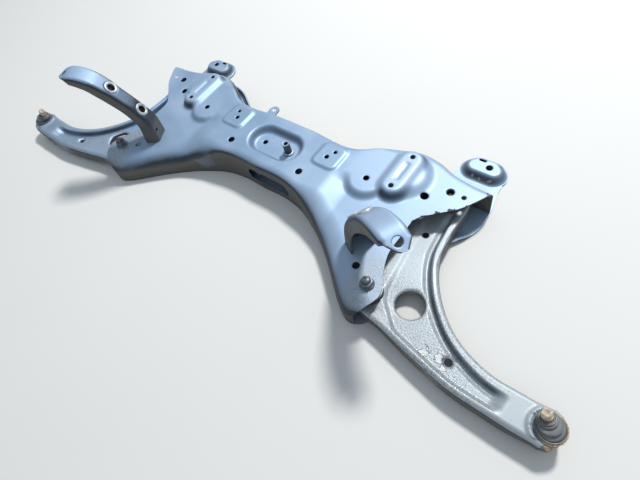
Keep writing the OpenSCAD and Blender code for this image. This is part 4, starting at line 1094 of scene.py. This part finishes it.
# The rear bolt and nut are near black: painted shade in the hole above them.
rear_bolt_shade_dark = plated("rear bolt near black for shade", (0.012, 0.012, 0.013, 1), 0.15, 0.1)
nut_flange = revolve([(BOLT_R, 0), (HEX / 2 + 3.5, 0), (HEX / 2 + 3.5, 0.8), (HEX / 2 + 1.5, 2.6),
                      (HEX / 2 - 1, 3), (BOLT_R, 3), (BOLT_R, 0)], 64)
front_nut = joined(nut_flange, hexagon(HEX, 2.9, HEX_H + 2, BOLT_R - 0.6))
rear_nut = hexagon(HEX, 0, HEX_H, BOLT_R - 0.6)
for side, sign in (("left", -1), ("right", 1)):
    for end, pivot, top, nut, seat, look in (
            ("front", FRONT_PIVOT, FRONT_BOLT_TOP, front_nut, TONGUE_Z, bolt_steel),
            ("rear", REAR_PIVOT, REAR_BOLT_TOP, rear_nut, REAR_NUT_Z, rear_bolt_shade_dark)):
        x, y = sign * pivot[0], pivot[1]
        piece(f"{end}_bolt_{side}", *moved(bolt(top), x, y), "subframe", "plated_steel", look,
              f"{end}_pivot_bolt_{side}")
        piece(f"{end}_nut_{side}", *moved(nut, x, y, seat), "subframe", "plated_steel", look,
              f"{end}_pivot_nut_{side}")

# Rack weld nuts: plain hexagon nuts welded under the two beads, for the steering rack's bolts.
# Hidden in the box section, bare steel.
dress("rack_weld_nuts", plated("weld nut steel", (0.36, 0.36, 0.36, 1), 0.4))

# Ball joints: a forged housing pressed through the end of each arm, a plastic seat, and a stud with its ball.
# Bare forged steel, brown with rust and pitted round the flange.
STUD_LEN, STUD_R, BALL_R, STUD_FLATS = 49.0, 7.8, 12.5, 8.0
LEAN_IN, LEAN_BACK = math.radians(18), math.radians(9.4)
SEAT_LOW = BALL[2] - BALL_R - 3
HOUSING_LOW = SEAT_LOW - 2.6
FLANGE_R = HOUSING_R + 4
FOOT_Z = ARM_RIM_Z + 3.5
FLANGE_PAINT_AND_SHADE = (0.12, 0.15, 0.20, 1)
HOUSING_STEPS, FLANGE_ROWS = 144, range(5, 10)


def stud_axis(share=1.0):
    a, b = LEAN_IN * share, LEAN_BACK * share
    return np.array([-math.sin(a) * math.cos(b), math.sin(b), math.cos(a) * math.cos(b)])


def rust_group():
    """Bare forged steel gone brown: dark scale, orange rust and pits."""
    tree, given, out = group(
        "brown rust", {"Colour": (0.2, 0.13, 0.08, 1), "Bright": (0.55, 0.30, 0.12, 1)}, SKIN)
    place = object_place(tree)
    patch = noise(tree, place, 110.0, 7.0)
    pits = add(tree, "ShaderNodeTexVoronoi", {"Vector": place, "Scale": 330.0}).outputs["Distance"]
    base = blend(tree, ramp(tree, patch, 0.38, 0.62), given["Colour"], given["Bright"])
    base = blend(tree, times(tree, ramp(tree, pits, 0.30, 0.12), 0.65), base, (0.06, 0.045, 0.035, 1))
    tree.links.new(base, out.inputs["Colour"])
    tree.links.new(plus(tree, times(tree, patch, 0.3), 0.5), out.inputs["Roughness"])
    tree.links.new(plus(tree, times(tree, patch, 0.6), ramp(tree, pits, 0.05, 0.3)), out.inputs["Height"])
    return tree


RUST = rust_group()


def rusty(name, dark, bright, bump, painted_to=0.0):
    """Rusty steel, dark blue inboard of a line: paint left on it, darkened as painted shade."""
    made, tree, shader = material(name, metallic=0.15)
    skin = use(tree, RUST, Colour=dark, Bright=bright)
    x = add(tree, "ShaderNodeSeparateXYZ", {0: object_place(tree)}).outputs[0]
    bare = ramp(tree, maths(tree, "ABSOLUTE", x), (painted_to - 6) * MM, (painted_to + 6) * MM)
    colour = blend(tree, bare, FLANGE_PAINT_AND_SHADE, skin["Colour"])
    finish_with(tree, shader, skin, bump, colour)
    return made


housing_rust = rusty("ball housing rust", (0.42, 0.33, 0.21, 1), (0.72, 0.58, 0.38, 1), 0.7, BALL[0] - 4)
stud_rust = rusty("stud rust", (0.48, 0.40, 0.32, 1), (0.80, 0.66, 0.49, 1), 0.3)
seat_plastic = moulded("ball seat plastic", (0.66, 0.64, 0.56, 1), 0.1, 0.05)


def housing():
    """Turned housing with a flange whose rim is knobbly."""
    inside = HOUSING_R - 2.6
    profile = [(0, HOUSING_LOW), (HOUSING_R - 5, HOUSING_LOW), (HOUSING_R - 1.5, HOUSING_LOW + 1.5),
               (HOUSING_R, HOUSING_LOW + 5), (HOUSING_R, ARM_RIM_Z + 0.05),
               (FLANGE_R - 0.4, ARM_RIM_Z + 0.05), (FLANGE_R, ARM_RIM_Z + 0.6), (FLANGE_R, ARM_RIM_Z + 2),
               (FLANGE_R - 0.7, ARM_RIM_Z + 3), (FLANGE_R - 2, FOOT_Z), (HOUSING_R - 1, FOOT_Z),
               (inside, ARM_RIM_Z - 3), (inside, SEAT_LOW), (0, SEAT_LOW)]
    points, faces = revolve(profile, HOUSING_STEPS, (BALL[0], BALL[1], 0))
    grid = points.reshape(HOUSING_STEPS, len(profile), 3)
    q = round_turn(HOUSING_STEPS)
    knob = 0.35 * np.sin(17 * q) * np.sin(5 * q + 1) + 0.25 * np.sin(29 * q + 2)
    for row in FLANGE_ROWS:
        grid[:, row, 0] += knob * np.cos(q)
        grid[:, row, 1] += knob * np.sin(q)
    return grid.reshape(-1, 3), faces


def stud():
    """Ball, neck and grooved shank, with a squared end."""
    ball = [(BALL_R * math.sin(a), -BALL_R * math.cos(a)) for a in np.linspace(0, math.radians(146), 30)]
    groove, end = STUD_LEN - 13, STUD_LEN - STUD_FLATS
    shank = [(STUD_R - 0.6, BALL_R + 1), (STUD_R - 0.6, BALL_R + 6), (STUD_R, BALL_R + 12),
             (STUD_R, groove - 4), (STUD_R - 1.4, groove - 2), (STUD_R - 1.4, groove + 2),
             (STUD_R, groove + 4), (STUD_R, end - 0.3), (STUD_R, end + 0.3), (STUD_R, STUD_LEN - 1.6),
             (STUD_R - 0.5, STUD_LEN - 0.6), (STUD_R - 1.5, STUD_LEN), (3.0, STUD_LEN),
             (2.2, STUD_LEN - 0.9), (0, STUD_LEN - 1.2)]
    points, faces = revolve(ball + shank, 72)
    q = np.arctan2(points[:, 1], points[:, 0])
    square = np.minimum(1, 0.86 / np.maximum(np.abs(np.cos(q)), np.abs(np.sin(q))))
    squared = points[:, 2] > end
    points[squared, :2] *= square[squared, None]
    axis = stud_axis()
    return BALL + points @ np.stack([*across_axis(axis), axis]), faces


for side, cup, pin in each_side(housing(), stud()):
    piece("ball_cup_" + side, *cup, "arm_" + side, "rusty_steel", housing_rust, "ball_housing_" + side)
    piece("stud_with_ball_" + side, *pin, "stud_" + side, "rusty_steel", stud_rust, "ball_stud_" + side)
    dress("ball_seat_" + side, seat_plastic)

# Dust boots: a ringed rubber bellows from each housing up to its leaning stud, held by a wire clip at its
# foot and one at its neck. Moulded, and grey with age.
BOOT_LINE = [(18.55, 17.6, 0.0), (19.5, 18.5, 0.0), (21.0, 18.5, 0.1), (22.2, 17.6, 0.2), (23.0, 15.2, 0.3),
             (23.6, 13.6, 0.38), (24.3, 14.6, 0.44), (25.3, 16.4, 0.5), (26.5, 16.5, 0.6), (27.5, 15.3, 0.7),
             (28.2, 12.8, 0.8), (28.7, 11.5, 0.86), (29.3, 12.2, 0.9), (30.2, 13.5, 0.95), (31.4, 13.4, 1.0),
             (32.3, 12.0, 1.0), (32.8, 10.2, 1.0), (33.5, 9.6, 1.0), (35.4, 9.6, 1.0), (35.9, 9.2, 1.0),
             (35.9, STUD_R + 0.25, 1.0), (34.0, STUD_R + 0.25, 1.0)]
BOOT_NECK, BOOT_NECK_R = 34.8, 9.6
CLIP_WIRE = 0.9


def boot(steps=80, fine=5):
    """Rings round a line that bends from upright to the lean of the stud."""
    knots = np.array(BOOT_LINE)
    count = np.arange(len(knots), dtype=float)
    t = np.linspace(0, len(knots) - 1, (len(knots) - 1) * fine + 1)
    height, radius, share = (curve(np.column_stack([count, knots[:, k]]), t) for k in range(3))
    q = round_turn(steps)
    rings = []
    for h, r, part in zip(height, radius, share):
        axis = stud_axis(part)
        e1, e2 = across_axis(axis)
        rings.append(BALL + h * axis + r * (np.cos(q)[:, None] * e1 + np.sin(q)[:, None] * e2))
    points = np.stack(rings, 1)
    points[..., 2] = np.maximum(points[..., 2], FOOT_Z + 0.06)
    return points.reshape(-1, 3), sheet_faces(steps, len(t), closed=True).tolist()


def wire_ring(radius, origin, axis):
    """A wire clip: a plain ring of round wire."""
    q = np.linspace(0, 2 * math.pi, 12)
    wire = [(radius + CLIP_WIRE - CLIP_WIRE * math.cos(a), CLIP_WIRE * math.sin(a)) for a in q]
    return revolve(wire, 96, origin, axis)


boot_rubber = moulded("dust boot rubber", (0.085, 0.095, 0.115, 1), 0.85, 0.12)
clip_steel = plated("boot clip steel", (0.30, 0.30, 0.30, 1), 0.3)
clips = joined(wire_ring(HOUSING_R, (BALL[0], BALL[1], FOOT_Z + 1.4), (0, 0, 1)),
               wire_ring(BOOT_NECK_R, BALL + BOOT_NECK * stud_axis(), stud_axis()))
for side, bellows, wires in each_side(boot(), clips):
    piece("bellows_" + side, *bellows, "arm_" + side, "rubber", boot_rubber, "dust_boot_" + side)
    piece("wire_clips_" + side, *wires, "arm_" + side, "plated_steel", clip_steel, "boot_clips_" + side)

# Stage: a pale floor and backdrop with broad soft light from above and behind, as in a product studio.
# None of it belongs to the part.
FLOOR_TONE, FLOOR_SPECK = (0.92, 0.92, 0.905, 1), (0.88, 0.88, 0.865, 1)
floor_look, tree, shader = material("studio floor")
speck = add(tree, "ShaderNodeTexNoise", {"Scale": 60.0, "Detail": 6.0}).outputs[0]
tree.links.new(blend(tree, speck, FLOOR_SPECK, FLOOR_TONE), shader.inputs["Base Color"])
shader.inputs["Roughness"].default_value = 0.9
mesh = bpy.data.meshes.new("studio floor")
FLOOR_HALF, FLOOR_Z = 12.0, -0.0004
corners = ((-1, -1), (1, -1), (1, 1), (-1, 1))
mesh.from_pydata([(x * FLOOR_HALF, y * FLOOR_HALF, FLOOR_Z) for x, y in corners], [], [(0, 1, 2, 3)])
mesh.materials.append(floor_look)
floor = bpy.data.objects.new("studio floor", mesh)
bpy.context.scene.collection.objects.link(floor)
KEY_PLACE, KEY_SIZE, KEY_WATTS, KEY_COLOUR = (0.25, 2.0, 3.2), 0.55, 108, (1.0, 0.985, 0.955)
lamp = bpy.data.lights.new("key from behind", "AREA")
lamp.shape = "DISK"
lamp.size = KEY_SIZE
lamp.energy = KEY_WATTS
lamp.color = KEY_COLOUR
key = bpy.data.objects.new("key from behind", lamp)
key.location = KEY_PLACE
key.rotation_euler = (-Vector(KEY_PLACE)).to_track_quat("-Z", "Y").to_euler()
bpy.context.scene.collection.objects.link(key)
AIR_COLOUR, AIR_LOW, AIR_RISE = (0.80, 0.90, 1.0, 1), 0.20, 0.40
world = bpy.data.worlds.new("studio air")
world.use_nodes = True
tree = world.node_tree
air = tree.nodes["Background"]
air.inputs[0].default_value = AIR_COLOUR
way = add(tree, "ShaderNodeTexCoord").outputs["Generated"]
rise = maths(tree, "MAXIMUM", add(tree, "ShaderNodeSeparateXYZ", {0: way}).outputs[2], 0.0)
glow = times(tree, maths(tree, "POWER", rise, 2.0), AIR_RISE)
tree.links.new(plus(tree, glow, AIR_LOW), air.inputs[1])
bpy.context.scene.world = world
bpy.context.scene.view_settings.view_transform = "Standard"

# Camera: where the photograph was taken from, found by fitting the part's own bolt holes to the picture.
# It looks down on the part over the right-hand arm.
LENS, SENSOR = 25.875, 36.0
EYE = (0.588, -0.418, 0.742)
RIGHT, UP, BACK = (0.78227, 0.59375, -0.18844), (-0.43048, 0.73390, 0.52542), (0.45026, -0.32991, 0.82971)
lens = bpy.data.cameras.new("photographer")
lens.lens = LENS
lens.sensor_width = SENSOR
camera = bpy.data.objects.new("photographer", lens)
camera.matrix_world = Matrix.Translation(EYE) @ Matrix((RIGHT, UP, BACK)).transposed().to_4x4()
bpy.context.scene.collection.objects.link(camera)
bpy.context.scene.camera = camera
